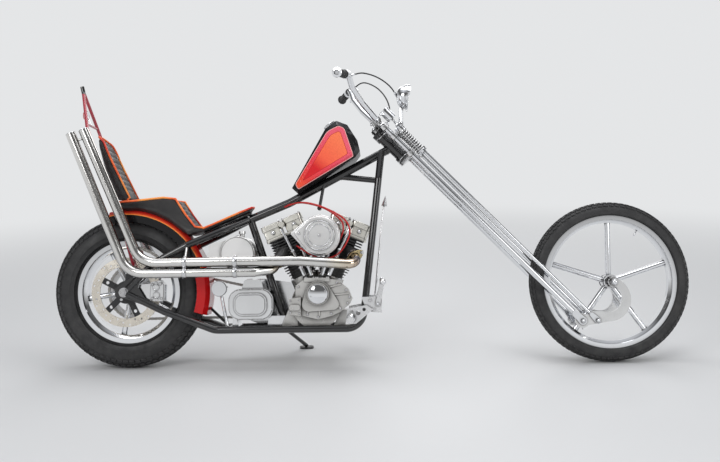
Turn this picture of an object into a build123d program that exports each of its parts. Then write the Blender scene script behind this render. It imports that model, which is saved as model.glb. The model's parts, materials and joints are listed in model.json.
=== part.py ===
from build123d import *
import os
from math import acos, atan2, cos, pi, radians, sin, sqrt

os.makedirs("parts", exist_ok=True)

# A long forked chopper, in millimetres and degrees. It is drawn upright, X forward from
# the rear axle, Y to the rider's left, Z up from the ground, and leaned at the very end.
LEAN = 10.2
WHEELBASE = 2040.0
RAKE = 44.6
NECK_X = 1128.0
NECK_Z = 927.0
NECK_LENGTH = 130.0

# Wheels and tyres: a 21 inch front and a 16 inch rear.
FRONT_TYRE_R = 338.0
FRONT_TYRE_HALF = 44.0
REAR_TYRE_R = 322.0
REAR_TYRE_HALF = 65.0
FRONT_LIP_R = 280.7
REAR_LIP_R = 217.2
RUNNING_GAP = 0.3

# The fork: steering axis, then the rear and front legs ahead of it.
REAR_LEG_AHEAD = 30.0
FRONT_LEG_AHEAD = 74.5
LEG_Y = 75.0
REAR_LEG_R = 12.7
FRONT_LEG_R = 8.0
PIVOT_Z = 178.0
HOOK_X = 2020.0
HOOK_Z = 266.0

# Frame tubes.
TUBE_R = 15.0
RAIL_Y = 112.0
RAIL_Z = 160.0
STAY_Y = 118.0

# Engine, gearbox and pipes.
CRANK_X = 799.0
CRANK_Z = 250.0
CYLINDER_LEAN = 22.5
PIPE_R = 20.5
PIPE_WALL = 2.0
UPPER_PIPE_Z = 443.0
LOWER_PIPE_Z = 400.0
PIPE_Y = -158.0

FORK_DOWN = Vector(sin(radians(RAKE)), 0, -cos(radians(RAKE)))
FORK_AHEAD = Vector(cos(radians(RAKE)), 0, sin(radians(RAKE)))


def side_plane(y):
    """The plane of a side view at sideways place y, which extrudes towards the right."""
    return Plane.XZ.offset(-y)


def wheel_plane(x, z, turn=0.0):
    """The plane across a wheel: local x is sideways, local y is outwards, turned from upright."""
    return Plane(origin=(x, 0, z), x_dir=(0, 1, 0), z_dir=(cos(radians(turn)), 0, -sin(radians(turn))))


def wheel_axis(x, z):
    return Axis((x, 0, z), (0, 1, 0))


def fork_point(down, ahead, y=0.0):
    """A point of the fork: down along it from the neck's middle, ahead of the steering axis."""
    point = Vector(NECK_X, y, NECK_Z) + FORK_DOWN * down + FORK_AHEAD * ahead
    return (point.X, point.Y, point.Z)


def leg_down(ahead, z):
    """How far down the fork a leg comes to height z."""
    return (NECK_Z + FORK_AHEAD.Z * ahead - z) / cos(radians(RAKE))


def bar(points, radius, bend=0.0):
    """A round bar along straight runs, with its corners bent to a radius."""
    with BuildPart() as rod:
        with BuildLine() as path:
            if len(points) == 2:
                Line(*points)
            else:
                FilletPolyline(*points, radius=bend)
        with BuildSketch(Plane(origin=path.line @ 0, z_dir=path.line % 0)):
            Circle(radius)
        sweep()
    return rod.part


def turned(profile, x, z):
    """A ring or disc turned about the wheel axis at x, z, from (sideways, outwards) points."""
    with BuildPart() as ring:
        with BuildSketch(wheel_plane(x, z)):
            with BuildLine():
                Polyline(*profile, close=True)
            make_face()
        revolve(axis=wheel_axis(x, z))
    return ring.part


def pin(x, z, y_low, y_high, radius):
    """A round pin across the machine."""
    with BuildPart() as rod:
        with BuildSketch(side_plane(y_high)):
            with Locations((x, z)):
                Circle(radius)
        extrude(amount=y_high - y_low)
    return rod.part


def nut(x, z, y_low, y_high, radius):
    """A hexagonal nut across the machine, its radius out to the corners."""
    with BuildPart() as hexagon:
        with BuildSketch(side_plane(y_high)):
            with Locations((x, z)):
                RegularPolygon(radius, 6)
        extrude(amount=y_high - y_low)
    return hexagon.part


def round_plate(rounds, y_low, y_high):
    """A plate in the side view that wraps round corners, each given as (x, z, radius)."""
    with BuildPart() as plate:
        with BuildSketch(side_plane(y_high)):
            for x, z, radius in rounds:
                with Locations((x, z)):
                    Circle(radius)
            make_hull()
        extrude(amount=y_high - y_low)
    return plate.part


def cut_plate(outline, y_low, y_high):
    """A plate in the side view with straight edges between (x, z) corners."""
    with BuildPart() as plate:
        with BuildSketch(side_plane(y_high)):
            with BuildLine():
                Polyline(*outline, close=True)
            make_face()
        extrude(amount=y_high - y_low)
    return plate.part


def tyre(x, z, radius, half, widest, bead_half, bead_r, lip_r):
    """A tyre: round crown, bulging walls, and a foot that sits on the rim's seats."""
    with BuildPart() as ring:
        with BuildSketch(wheel_plane(x, z)):
            with BuildLine():
                ThreePointArc((-half, widest), (0, radius), (half, widest))
                ThreePointArc((half, widest), (half - 1.5, widest - 14), (bead_half + 2, lip_r + 2))
                Line((bead_half + 2, lip_r + 2), (bead_half, lip_r))
                Line((bead_half, lip_r), (bead_half, bead_r))
                Line((bead_half, bead_r), (-bead_half, bead_r))
                Line((-bead_half, bead_r), (-bead_half, lip_r))
                Line((-bead_half, lip_r), (-bead_half - 2, lip_r + 2))
                ThreePointArc((-bead_half - 2, lip_r + 2), (1.5 - half, widest - 14), (-half, widest))
            make_face()
        revolve(axis=wheel_axis(x, z))
    return ring.part


def rim_profile(lip_r, seat_r, well_r, seat_half, lip_half, well_half, wall):
    """The closed section of a drop centre rim, as (sideways, outwards) points."""
    outer = [(seat_half, lip_r), (seat_half, seat_r), (well_half + 6, seat_r), (well_half, well_r)]
    inner = [(well_half + 2, well_r - wall), (well_half + 8, seat_r - wall),
             (lip_half, seat_r - wall), (lip_half, lip_r)]
    left_outer = [(-y, r) for y, r in reversed(outer)]
    left_inner = [(-y, r) for y, r in reversed(inner)]
    return outer + left_outer + left_inner + inner


def spoke(x, z, angle, inside, outside, radius):
    """A tube spoke from the hub to the rim's well, at an angle in the side view."""
    way = Vector(cos(radians(angle)), 0, sin(radians(angle)))
    start = Vector(x, 0, z) + way * inside
    end = Vector(x, 0, z) + way * outside
    return bar([(start.X, 0, start.Z), (end.X, 0, end.Z)], radius)


# Front wheel: five tube spokes between a narrow hub and a drop centre rim.
FRONT_SEAT_R = 266.7
FRONT_WELL_R = 254.0
FRONT_AXLE_R = 9.5
FRONT_HUB_HALF = 52.0
SPOKES = 5
SPOKE_R = 12.0
FRONT_SPOKE_START = 18.0
REAR_SPOKE_START = 44.0

with BuildPart() as front_tyre:
    add(tyre(WHEELBASE, FRONT_TYRE_R, FRONT_TYRE_R, FRONT_TYRE_HALF, 301, 28, FRONT_SEAT_R, FRONT_LIP_R))
front_tyre.part.label = "front_tyre"

with BuildPart() as front_wheel:
    add(turned(rim_profile(FRONT_LIP_R, FRONT_SEAT_R, FRONT_WELL_R, 28, 32, 12, 4), WHEELBASE, FRONT_TYRE_R))
    add(pin(WHEELBASE, FRONT_TYRE_R, -22, 22, 30))
    add(pin(WHEELBASE, FRONT_TYRE_R, -FRONT_HUB_HALF, FRONT_HUB_HALF, 22))
    for side in (-1, 1):
        add(pin(WHEELBASE, FRONT_TYRE_R, side * 42 - 4, side * 42 + 4, 30))
    for step in range(SPOKES):
        angle = FRONT_SPOKE_START + 360 / SPOKES * step
        add(spoke(WHEELBASE, FRONT_TYRE_R, angle, 20, FRONT_WELL_R - 2, SPOKE_R))
    add(pin(WHEELBASE, FRONT_TYRE_R, -60, 60, FRONT_AXLE_R + RUNNING_GAP), mode=Mode.SUBTRACT)
front_wheel.part.label = "front_wheel"

# Rear wheel: a wider rim, with the brake disc on the right and a sprocket on the left.
REAR_SEAT_R = 203.2
REAR_WELL_R = 188.0
REAR_AXLE_R = 9.5
REAR_HUB_HALF = 78.0
DISC_Y = -84.0
DISC_R = 146.0
DISC_BAND_R = 110.0
DISC_HALF = 2.5
SPROCKET_Y = 89.0
SPROCKET_R = 115.0

with BuildPart() as rear_tyre:
    add(tyre(0, REAR_TYRE_R, REAR_TYRE_R, REAR_TYRE_HALF, 262, 40, REAR_SEAT_R, REAR_LIP_R))
rear_tyre.part.label = "rear_tyre"

with BuildPart() as rear_wheel:
    add(turned(rim_profile(REAR_LIP_R, REAR_SEAT_R, REAR_WELL_R, 40, 45, 22, 5), 0, REAR_TYRE_R))
    add(pin(0, REAR_TYRE_R, -50, 50, 40))
    add(pin(0, REAR_TYRE_R, -REAR_HUB_HALF, REAR_HUB_HALF, 30))
    for side in (-1, 1):
        add(pin(0, REAR_TYRE_R, side * 74 - 4, side * 74 + 4, 46))
    for step in range(SPOKES):
        angle = REAR_SPOKE_START + 360 / SPOKES * step
        add(spoke(0, REAR_TYRE_R, angle, 30, REAR_WELL_R - 3, SPOKE_R))
    add(pin(0, REAR_TYRE_R, -90, 90, REAR_AXLE_R + RUNNING_GAP), mode=Mode.SUBTRACT)
rear_wheel.part.label = "rear_wheel"

# The disc is a drilled band held by the fingers of a carrier, which bolts to the hub.
CARRIER_FINGERS = 5
BAND_HOLES = 10
# Each row of holes: out from the axle, turned from the first row, radius.
HOLE_ROWS = ((119.0, 0.0, 4.0), (128.0, 12.0, 4.0), (137.0, 24.0, 4.0))

with BuildPart() as brake_disc:
    add(pin(0, REAR_TYRE_R, DISC_Y - DISC_HALF, DISC_Y + DISC_HALF, DISC_R))
    add(pin(0, REAR_TYRE_R, DISC_Y - 10, DISC_Y + 10, DISC_BAND_R), mode=Mode.SUBTRACT)
    with BuildSketch(side_plane(DISC_Y + DISC_HALF)):
        with Locations((0, REAR_TYRE_R)):
            Circle(48)
            for step in range(CARRIER_FINGERS):
                with PolarLocations(60, 1, start_angle=8 + 360 / CARRIER_FINGERS * step):
                    Rectangle(108, 26)
    extrude(amount=2 * DISC_HALF)
    with BuildSketch(side_plane(DISC_Y + 10)):
        with Locations((0, REAR_TYRE_R)):
            for out, turn, radius in HOLE_ROWS:
                with PolarLocations(out, BAND_HOLES, start_angle=turn):
                    Circle(radius)
            with PolarLocations(88, CARRIER_FINGERS, start_angle=8):
                Circle(7)
            Circle(REAR_AXLE_R + 8)
    extrude(amount=20, mode=Mode.SUBTRACT)
    add(rear_wheel.part, mode=Mode.SUBTRACT)
brake_disc.part.label = "brake_disc"

SPROCKET_TEETH = 48
TOOTH_HEIGHT = 7.0


def toothed(x, z, teeth, tip_r, y_low, y_high):
    """A disc with a ring of blunt teeth, its tips out to a radius."""
    outline = []
    for step in range(teeth):
        for share, out in ((0.0, tip_r - TOOTH_HEIGHT), (0.3, tip_r - TOOTH_HEIGHT), (0.55, tip_r), (0.75, tip_r)):
            angle = radians(360 / teeth * (step + share))
            outline.append((x + out * cos(angle), z + out * sin(angle)))
    return cut_plate(outline, y_low, y_high)


with BuildPart() as rear_sprocket:
    add(toothed(0, REAR_TYRE_R, SPROCKET_TEETH, SPROCKET_R, SPROCKET_Y - 3, SPROCKET_Y + 3))
    with BuildSketch(side_plane(SPROCKET_Y + 10)):
        with Locations((0, REAR_TYRE_R)):
            with PolarLocations(76, CARRIER_FINGERS):
                Circle(20)
            Circle(REAR_AXLE_R + 8)
    extrude(amount=20, mode=Mode.SUBTRACT)
    add(pin(0, REAR_TYRE_R, 78, SPROCKET_Y - 3, 44))
    add(pin(0, REAR_TYRE_R, 70, SPROCKET_Y + 10, REAR_AXLE_R + 8), mode=Mode.SUBTRACT)
rear_sprocket.part.label = "rear_sprocket"

with BuildPart() as rear_axle:
    add(pin(0, REAR_TYRE_R, -146, 146, REAR_AXLE_R))
    for side in (-1, 1):
        add(nut(0, REAR_TYRE_R, side * 135 - 7, side * 135 + 7, 17))
        add(pin(0, REAR_TYRE_R, side * 126 - 2, side * 126 + 2, 20))
    add(pin(0, REAR_TYRE_R, -111, -90, 15))
    add(pin(0, REAR_TYRE_R, 96, 111, 15))
rear_axle.part.label = "rear_axle"

# The caliper straddles the disc ahead of the axle, on a plate that hangs from the axle.
CALIPER_X = 134.0
CALIPER_Z = 322.0
with BuildPart() as brake_caliper:
    for y_low, y_high in ((-112, DISC_Y - DISC_HALF - 1.5), (DISC_Y + DISC_HALF + 1.5, -60)):
        add(cut_plate([(108, 292), (120, 284), (160, 284), (163, 350), (150, 370), (112, 364)], y_low, y_high))
    add(cut_plate([(153, 284), (166, 288), (168, 352), (153, 366)], -108, -64))
    add(round_plate([(0, REAR_TYRE_R, 26), (112, 346, 12), (108, 300, 12)], -100, -93))
    add(rear_axle.part, mode=Mode.SUBTRACT)
brake_caliper.part.label = "brake_caliper"

# Frame: neck, top tube, the brace below the tank, seat post and the rails' cross tubes.
TOP_TUBE_BEND = (685.0, 0.0, 694.0)
TOP_TUBE_END = (515.0, 0.0, 625.0)
SEAT_POST_FOOT = (668.0, 0.0, RAIL_Z)
DOWNTUBE_TOP = (1080.0, 22.0, 902.0)
DOWNTUBE_FOOT_X = 990.0
BRACE_REAR = (889.0, 0.0, 805.0)
BRACE_FRONT_X = 1066.0
BRACE_FRONT_Z = 785.0
CROSS_TUBES = (430.0, 668.0, 905.0)
STEM_R = 15.0

with BuildPart() as frame_backbone:
    add(bar([fork_point(-NECK_LENGTH / 2, 0), fork_point(NECK_LENGTH / 2, 0)], 24))
    for down in (-NECK_LENGTH / 2, NECK_LENGTH / 2 - 16):
        add(bar([fork_point(down, 0), fork_point(down + 16, 0)], 29))
    add(bar([(NECK_X, 0, NECK_Z), TOP_TUBE_BEND, TOP_TUBE_END], 18, 200))
    add(bar([BRACE_REAR, (BRACE_FRONT_X, 0, BRACE_FRONT_Z)], 13))
    add(bar([(BRACE_FRONT_X, -60, BRACE_FRONT_Z), (BRACE_FRONT_X, 60, BRACE_FRONT_Z)], 13))
    for y in (-12, 12):
        add(bar([(832, y, 772), (812, y, 672)], 6))
    add(pin(812, 668, -20, 20, 9))
    add(bar([TOP_TUBE_END, SEAT_POST_FOOT], 16))
    for x in CROSS_TUBES:
        add(bar([(x, -RAIL_Y, RAIL_Z), (x, RAIL_Y, RAIL_Z)], 13))
    add(bar([fork_point(-70, 0), fork_point(70, 0)], STEM_R + RUNNING_GAP), mode=Mode.SUBTRACT)
frame_backbone.part.label = "frame_backbone"

# Side stand: a leg with a foot, hinged on a bracket below the left rail.
STAND_PIVOT = Vector(640, 152, 150)
STAND_FOOT_X = 730.0
STAND_FOOT_Y = 275.0
STAND_LEG_R = 8.5
STAND_EYE_R = 17.0
STAND_EYE_HALF = 9.0
STAND_PIN_R = 6.0
GROUND_LEVEL = -0.91
STAND_FOOT_Z = (STAND_FOOT_Y * sin(radians(LEAN)) + GROUND_LEVEL) / cos(radians(LEAN))
STAND_FOOT = Vector(STAND_FOOT_X, STAND_FOOT_Y, STAND_FOOT_Z)
GROUND_UP = Vector(0, -sin(radians(LEAN)), cos(radians(LEAN)))
STAND_HEEL = STAND_FOOT + GROUND_UP * 12
STAND_FOLDED = Vector(-1, 0.16, 0.0)
STAND_AXIS = (STAND_HEEL - STAND_PIVOT).cross(STAND_FOLDED).normalized()
# The bracket reaches from the hinge towards the rail, square to the hinge pin.
TO_RAIL = Vector(0, RAIL_Y - STAND_PIVOT.Y, RAIL_Z - STAND_PIVOT.Z)
BRACKET_WAY = (TO_RAIL - STAND_AXIS * TO_RAIL.dot(STAND_AXIS)).normalized()

with BuildPart() as side_stand:
    leg_start = STAND_PIVOT + (STAND_HEEL - STAND_PIVOT).normalized() * 12
    add(bar([leg_start, STAND_HEEL], STAND_LEG_R))
    with BuildSketch(Plane(origin=STAND_FOOT, x_dir=(1, 0, 0), z_dir=GROUND_UP)):
        SlotOverall(64, 36)
    extrude(amount=8)
    with BuildSketch(Plane(origin=STAND_PIVOT - STAND_AXIS * STAND_EYE_HALF, z_dir=STAND_AXIS)):
        Circle(STAND_EYE_R)
    extrude(amount=2 * STAND_EYE_HALF)
    with BuildSketch(Plane(origin=STAND_PIVOT - STAND_AXIS * 20, z_dir=STAND_AXIS)):
        Circle(STAND_PIN_R + RUNNING_GAP)
    extrude(amount=40, mode=Mode.SUBTRACT)
side_stand.part.label = "side_stand"

with BuildPart() as stand_bracket:
    # Each cheek: the start and the end of its thickness along the hinge pin.
    for low, high in ((-17, -9.5), (9.5, 17)):
        with BuildSketch(Plane(origin=STAND_PIVOT + STAND_AXIS * low, x_dir=BRACKET_WAY, z_dir=STAND_AXIS)):
            Circle(15)
            with Locations((34, 0)):
                Circle(10)
            make_hull()
        extrude(amount=high - low)
    with BuildSketch(Plane(origin=STAND_PIVOT - STAND_AXIS * 17, x_dir=BRACKET_WAY, z_dir=STAND_AXIS)):
        with Locations((34, 0)):
            Circle(10)
    extrude(amount=34)
    with BuildSketch(Plane(origin=STAND_PIVOT - STAND_AXIS * 21, z_dir=STAND_AXIS)):
        Circle(STAND_PIN_R)
    extrude(amount=42)


def frame_side(side):
    """One side of the cradle: downtube, bottom rail, chain stay, seat stay and axle plate."""
    down = [(DOWNTUBE_TOP[0], side * DOWNTUBE_TOP[1], DOWNTUBE_TOP[2]), (BRACE_FRONT_X, side * 64, BRACE_FRONT_Z)]
    foot = (DOWNTUBE_FOOT_X, side * RAIL_Y, RAIL_Z)
    rear = [(377, side * RAIL_Y, RAIL_Z), (169, side * STAY_Y, 240), (14, side * STAY_Y, 316)]
    upper = [(508, side * 18, 622), (400, side * 72, 574), (262, side * 112, 515), (120, side * STAY_Y, 440),
             (16, side * STAY_Y, 336)]
    plate = [(-34, 306), (30, 288), (82, 268), (92, 286), (60, 340), (72, 392), (56, 402), (-2, 362), (-34, 340)]
    with BuildPart() as half:
        add(bar(down + [foot] + rear, TUBE_R, 75))
        add(bar(upper, TUBE_R, 60))
        add(cut_plate(plate, side * STAY_Y - 6, side * STAY_Y + 6))
        add(frame_backbone.part, mode=Mode.SUBTRACT)
        add(rear_axle.part, mode=Mode.SUBTRACT)
    return half.part


with BuildPart() as frame_right:
    add(frame_side(-1))
frame_right.part.label = "frame_right"

with BuildPart() as frame_left:
    add(frame_side(1))
    add(stand_bracket.part)
frame_left.part.label = "frame_left"


# Fork: trees on a stem, fixed rear legs, sprung front legs and hook shaped rockers.
REAR_LEG_END = leg_down(REAR_LEG_AHEAD, PIVOT_Z)
FRONT_LEG_END = leg_down(FRONT_LEG_AHEAD, PIVOT_Z)
REAR_PIVOT = fork_point(REAR_LEG_END, REAR_LEG_AHEAD)
FRONT_PIVOT = fork_point(FRONT_LEG_END, FRONT_LEG_AHEAD)
TREE_DOWN = (-78.0, 78.0)
TREE_THICK = 20.0
SPRING_TOP = -14.0
SPRING_FOOT = 104.0
SPRING_TURNS = 10
SPRING_RUNS = 8
SPRING_WIRE_R = 2.6
SPRING_R = 13.0
SPRING_RISE = SPRING_FOOT - SPRING_TOP - 2 * SPRING_WIRE_R
RISER_DOWN = -125.0
ROCKER_HALF = 7.0
PIVOT_BOLT_R = 6.0
BAR_R = 12.7


def tree(down):
    """A fork tree: a plate across the stem with an eye for each rear leg."""
    plane = Plane(origin=fork_point(down, 0), x_dir=FORK_AHEAD, z_dir=FORK_DOWN)
    with BuildPart() as plate:
        with BuildSketch(plane):
            Circle(30)
            with Locations((REAR_LEG_AHEAD, -LEG_Y), (REAR_LEG_AHEAD, LEG_Y)):
                Circle(20)
            make_hull()
        extrude(amount=TREE_THICK / 2, both=True)
    return plate.part


def clevis(pivot, above, y, foot_r, top_r, thick):
    """Two cheeks either side of a rocker, from its pivot up to the end of a leg."""
    with BuildPart() as cheeks:
        for y_low in (y - ROCKER_HALF - 0.2 - thick, y + ROCKER_HALF + 0.2):
            add(round_plate([(pivot[0], pivot[2], foot_r), (above[0], above[2], top_r)], y_low, y_low + thick))
        add(pin(pivot[0], pivot[2], y - 20, y + 20, PIVOT_BOLT_R))
        for side in (-1, 1):
            add(nut(pivot[0], pivot[2], y + side * 17 - 3, y + side * 17 + 3, 10))
    return cheeks.part


with BuildPart() as rear_legs:
    for y in (-LEG_Y, LEG_Y):
        add(bar([fork_point(-92, REAR_LEG_AHEAD, y), fork_point(REAR_LEG_END - 34, REAR_LEG_AHEAD, y)], REAR_LEG_R))
        add(clevis(REAR_PIVOT, fork_point(REAR_LEG_END - 44, REAR_LEG_AHEAD), y, 17, 12.7, 6.8))
rear_legs.part.label = "rear_legs"

with BuildPart() as front_legs:
    for y in (-LEG_Y, LEG_Y):
        add(bar([fork_point(SPRING_TOP - 24, FRONT_LEG_AHEAD, y), fork_point(FRONT_LEG_END - 30, FRONT_LEG_AHEAD, y)],
                FRONT_LEG_R))
        add(bar([fork_point(SPRING_FOOT, FRONT_LEG_AHEAD, y), fork_point(SPRING_FOOT + 10, FRONT_LEG_AHEAD, y)], 16))
        add(bar([fork_point(SPRING_TOP - 24, FRONT_LEG_AHEAD, y), fork_point(SPRING_TOP - 12, FRONT_LEG_AHEAD, y)], 13))
        add(clevis(FRONT_PIVOT, fork_point(FRONT_LEG_END - 36, FRONT_LEG_AHEAD), y, 13, 9, 5.8))
front_legs.part.label = "front_legs"

# Handlebar: a narrow pair of bars that rise in line with the fork and turn out at the grips.
CROSS = fork_point(RISER_DOWN, REAR_LEG_AHEAD)
RIGHT_BAR = [(906, -297, 1192), (948, -172, 1208), (962, -150, 1160), (1002, -110, 1102), (CROSS[0], -66, CROSS[2])]
LEFT_BAR = [(x, -y, z) for x, y, z in reversed(RIGHT_BAR)]
GRIP_R = 16.5


def along(start, end, distance):
    """The point a distance along a straight run."""
    run = Vector(*end) - Vector(*start)
    point = Vector(*start) + run.normalized() * distance
    return (point.X, point.Y, point.Z)


def mirrored(point):
    return (point[0], -point[1], point[2])


with BuildPart() as handlebar:
    add(bar(RIGHT_BAR + LEFT_BAR, BAR_R, 22))
    # Throttle collar on the right, lever perch and lever on the left.
    for start, length in ((112, 20), (96, 14)):
        add(bar([along(RIGHT_BAR[0], RIGHT_BAR[1], start), along(RIGHT_BAR[0], RIGHT_BAR[1], start - length)], 19))
    perch = mirrored(along(RIGHT_BAR[0], RIGHT_BAR[1], 112))
    perch_end = mirrored(along(RIGHT_BAR[0], RIGHT_BAR[1], 94))
    add(bar([perch, perch_end], 18))
    add(bar([(perch[0], perch[1], perch[2]), (perch[0] + 40, perch[1] + 6, perch[2] + 8)], 9))
    add(bar([(perch[0] + 36, perch[1] + 5, perch[2] + 7), (perch[0] + 34, perch[1] + 60, perch[2] + 2),
             (906 + 38, 320, 1186)], 5, 30))
    add(rear_legs.part, mode=Mode.SUBTRACT)
handlebar.part.label = "handlebar"

with BuildPart() as grips:
    for flip in (False, True):
        inner = along(RIGHT_BAR[0], RIGHT_BAR[1], 92)
        outer = along(RIGHT_BAR[0], RIGHT_BAR[1], -6)
        ends = [mirrored(inner), mirrored(outer)] if flip else [inner, outer]
        add(bar(ends, GRIP_R))
        lip = along(ends[1], ends[0], 8)
        add(bar([ends[1], lip], GRIP_R + 4))
    add(handlebar.part, mode=Mode.SUBTRACT)
grips.part.label = "grips"

with BuildPart() as fork_trees:
    for down in TREE_DOWN:
        add(tree(down))
    add(bar([fork_point(-96, 0), fork_point(88, 0)], STEM_R))
    add(bar([fork_point(-100, 0), fork_point(-86, 0)], 19))
    for y in (-30, 30):
        add(bar([fork_point(-85, REAR_LEG_AHEAD, y), fork_point(RISER_DOWN, REAR_LEG_AHEAD, y)], 14))
        add(bar([fork_point(RISER_DOWN, REAR_LEG_AHEAD, y - 12), fork_point(RISER_DOWN, REAR_LEG_AHEAD, y + 12)], 20))
    spring_seat = SPRING_TOP - 7
    for y in (-LEG_Y, LEG_Y):
        add(bar([fork_point(SPRING_TOP - 12, FRONT_LEG_AHEAD, y), fork_point(SPRING_TOP, FRONT_LEG_AHEAD, y)], 17))
        add(bar([fork_point(spring_seat, REAR_LEG_AHEAD, y), fork_point(spring_seat, FRONT_LEG_AHEAD, y)], 4.5))
        add(bar([fork_point(spring_seat - 9, REAR_LEG_AHEAD, y), fork_point(spring_seat + 9, REAR_LEG_AHEAD, y)], 17))
    add(bar([fork_point(spring_seat, FRONT_LEG_AHEAD, -LEG_Y), fork_point(spring_seat, FRONT_LEG_AHEAD, LEG_Y)], 5.5))
    add(rear_legs.part, mode=Mode.SUBTRACT)
    add(front_legs.part, mode=Mode.SUBTRACT)
    add(handlebar.part, mode=Mode.SUBTRACT)
fork_trees.part.label = "fork_trees"

# The coils stand between the seats, as open helices round the front legs.
with BuildPart() as springs:
    for y in (-LEG_Y, LEG_Y):
        coil = []
        for step in range(SPRING_TURNS * SPRING_RUNS + 1):
            turn = radians(360 / SPRING_RUNS * step)
            down = SPRING_TOP + SPRING_WIRE_R + SPRING_RISE * step / (SPRING_TURNS * SPRING_RUNS)
            coil.append(fork_point(down, FRONT_LEG_AHEAD + SPRING_R * cos(turn), y + SPRING_R * sin(turn)))
        with BuildLine() as path:
            Polyline(*coil)
        with BuildSketch(Plane(origin=path.line @ 0, z_dir=path.line % 0)):
            RegularPolygon(SPRING_WIRE_R, 6)
        sweep(transition=Transition.RIGHT)
springs.part.label = "springs"


def rocker(y):
    """A hook: a straight tail with two pivots, a round bend below and the axle eye on top."""
    with BuildPart() as hook:
        with BuildSketch(side_plane(y + ROCKER_HALF)):
            with Locations((HOOK_X, HOOK_Z)):
                Circle(92)
            with BuildLine():
                Polyline((REAR_PIVOT[0] - 22, PIVOT_Z - 26), (HOOK_X, HOOK_Z - 92), (HOOK_X, HOOK_Z - 55),
                         (REAR_PIVOT[0] - 22, PIVOT_Z + 24), close=True)
            make_face()
            with Locations((REAR_PIVOT[0], PIVOT_Z)):
                Circle(30)
            with Locations((HOOK_X - 3, HOOK_Z + 4)):
                Circle(58, mode=Mode.SUBTRACT)
            with BuildLine():
                Polyline((WHEELBASE - 4, HOOK_Z + 30), (WHEELBASE - 12, HOOK_Z + 120), (HOOK_X - 130, HOOK_Z + 120),
                         (HOOK_X - 130, HOOK_Z - 50), (HOOK_X - 20, HOOK_Z - 50), close=True)
            make_face(mode=Mode.SUBTRACT)
            with Locations((WHEELBASE, FRONT_TYRE_R)):
                Circle(20)
        extrude(amount=2 * ROCKER_HALF)
    return hook.part


with BuildPart() as front_axle:
    add(pin(WHEELBASE, FRONT_TYRE_R, -104, 104, FRONT_AXLE_R))
    # Each side: a nut outside the rocker, and a spacer between the rocker and the hub.
    for side in (-1, 1):
        add(nut(WHEELBASE, FRONT_TYRE_R, side * 88 - 6, side * 88 + 6, 17))
        add(pin(WHEELBASE, FRONT_TYRE_R, side * 60.4 - 7.4, side * 60.4 + 7.4, 15))
front_axle.part.label = "front_axle"

with BuildPart() as rockers:
    for y in (-LEG_Y, LEG_Y):
        add(rocker(y))
    add(front_axle.part, mode=Mode.SUBTRACT)
    add(rear_legs.part, mode=Mode.SUBTRACT)
    add(front_legs.part, mode=Mode.SUBTRACT)
rockers.part.label = "rockers"

# Headlamp: a bowl with a peaked rim on a round post, and its glass.
LAMP_X = 1176.0
LAMP_Z = 1143.0
LAMP_R = 50.0
LAMP_FOOT = fork_point(SPRING_TOP - 7, FRONT_LEG_AHEAD)
LAMP_PLANE = Plane(origin=(LAMP_X, 0, LAMP_Z), x_dir=(1, 0, 0), z_dir=(0, -1, 0))

with BuildPart() as headlamp:
    with BuildSketch(LAMP_PLANE):
        with BuildLine():
            Line((-26, 0), (-26, 18))
            ThreePointArc((-26, 18), (-12, 42), (10, LAMP_R))
            Line((10, LAMP_R), (10, LAMP_R + 4))
            Line((10, LAMP_R + 4), (18, LAMP_R + 4))
            Line((18, LAMP_R + 4), (18, LAMP_R - 6))
            Line((18, LAMP_R - 6), (4, LAMP_R - 10))
            Line((4, LAMP_R - 10), (-14, 24))
            Line((-14, 24), (-14, 0))
            Line((-14, 0), (-26, 0))
        make_face()
    revolve(axis=Axis((LAMP_X, 0, LAMP_Z), (1, 0, 0)))
    with BuildSketch(Plane(origin=(LAMP_X + 14, 0, LAMP_Z), x_dir=(0, 1, 0), z_dir=(1, 0, 0))):
        Circle(LAMP_R + 3.9)
        Circle(LAMP_R + 1, mode=Mode.SUBTRACT)
        with Locations((0, -30)):
            Rectangle(130, 100, mode=Mode.SUBTRACT)
    extrude(amount=20)
    add(bar([(1168, 0, 1096), (LAMP_FOOT[0], 0, LAMP_FOOT[2])], 10))
    add(bar([(1164, 0, 1034), (LAMP_FOOT[0], 0, LAMP_FOOT[2])], 15))
    add(fork_trees.part, mode=Mode.SUBTRACT)
headlamp.part.label = "headlamp"

with BuildPart() as headlamp_lens:
    with BuildSketch(LAMP_PLANE):
        with BuildLine():
            Polyline((14, 0), (14, LAMP_R - 7.2), (17, LAMP_R - 6.4), (21, 34), (24, 20), (25, 0), close=True)
        make_face()
    revolve(axis=Axis((LAMP_X, 0, LAMP_Z), (1, 0, 0)))
headlamp_lens.part.label = "headlamp_lens"

# Speedometer: a round can whose face looks back up the fork at the rider.
DIAL_FACE = (1092.0, -20.0, 1084.0)
DIAL_BACK = (1130.0, -20.0, 1046.0)
with BuildPart() as speedometer:
    add(bar([DIAL_FACE, DIAL_BACK], 22))
    add(bar([DIAL_FACE, along(DIAL_FACE, DIAL_BACK, 7)], 25))
    add(bar([along(DIAL_FACE, DIAL_BACK, -1), along(DIAL_FACE, DIAL_BACK, 3)], 20), mode=Mode.SUBTRACT)
    add(bar([DIAL_BACK, (1160, 0, 1012)], 5))
    add(fork_trees.part, mode=Mode.SUBTRACT)
    add(headlamp.part, mode=Mode.SUBTRACT)
speedometer.part.label = "speedometer"

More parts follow.
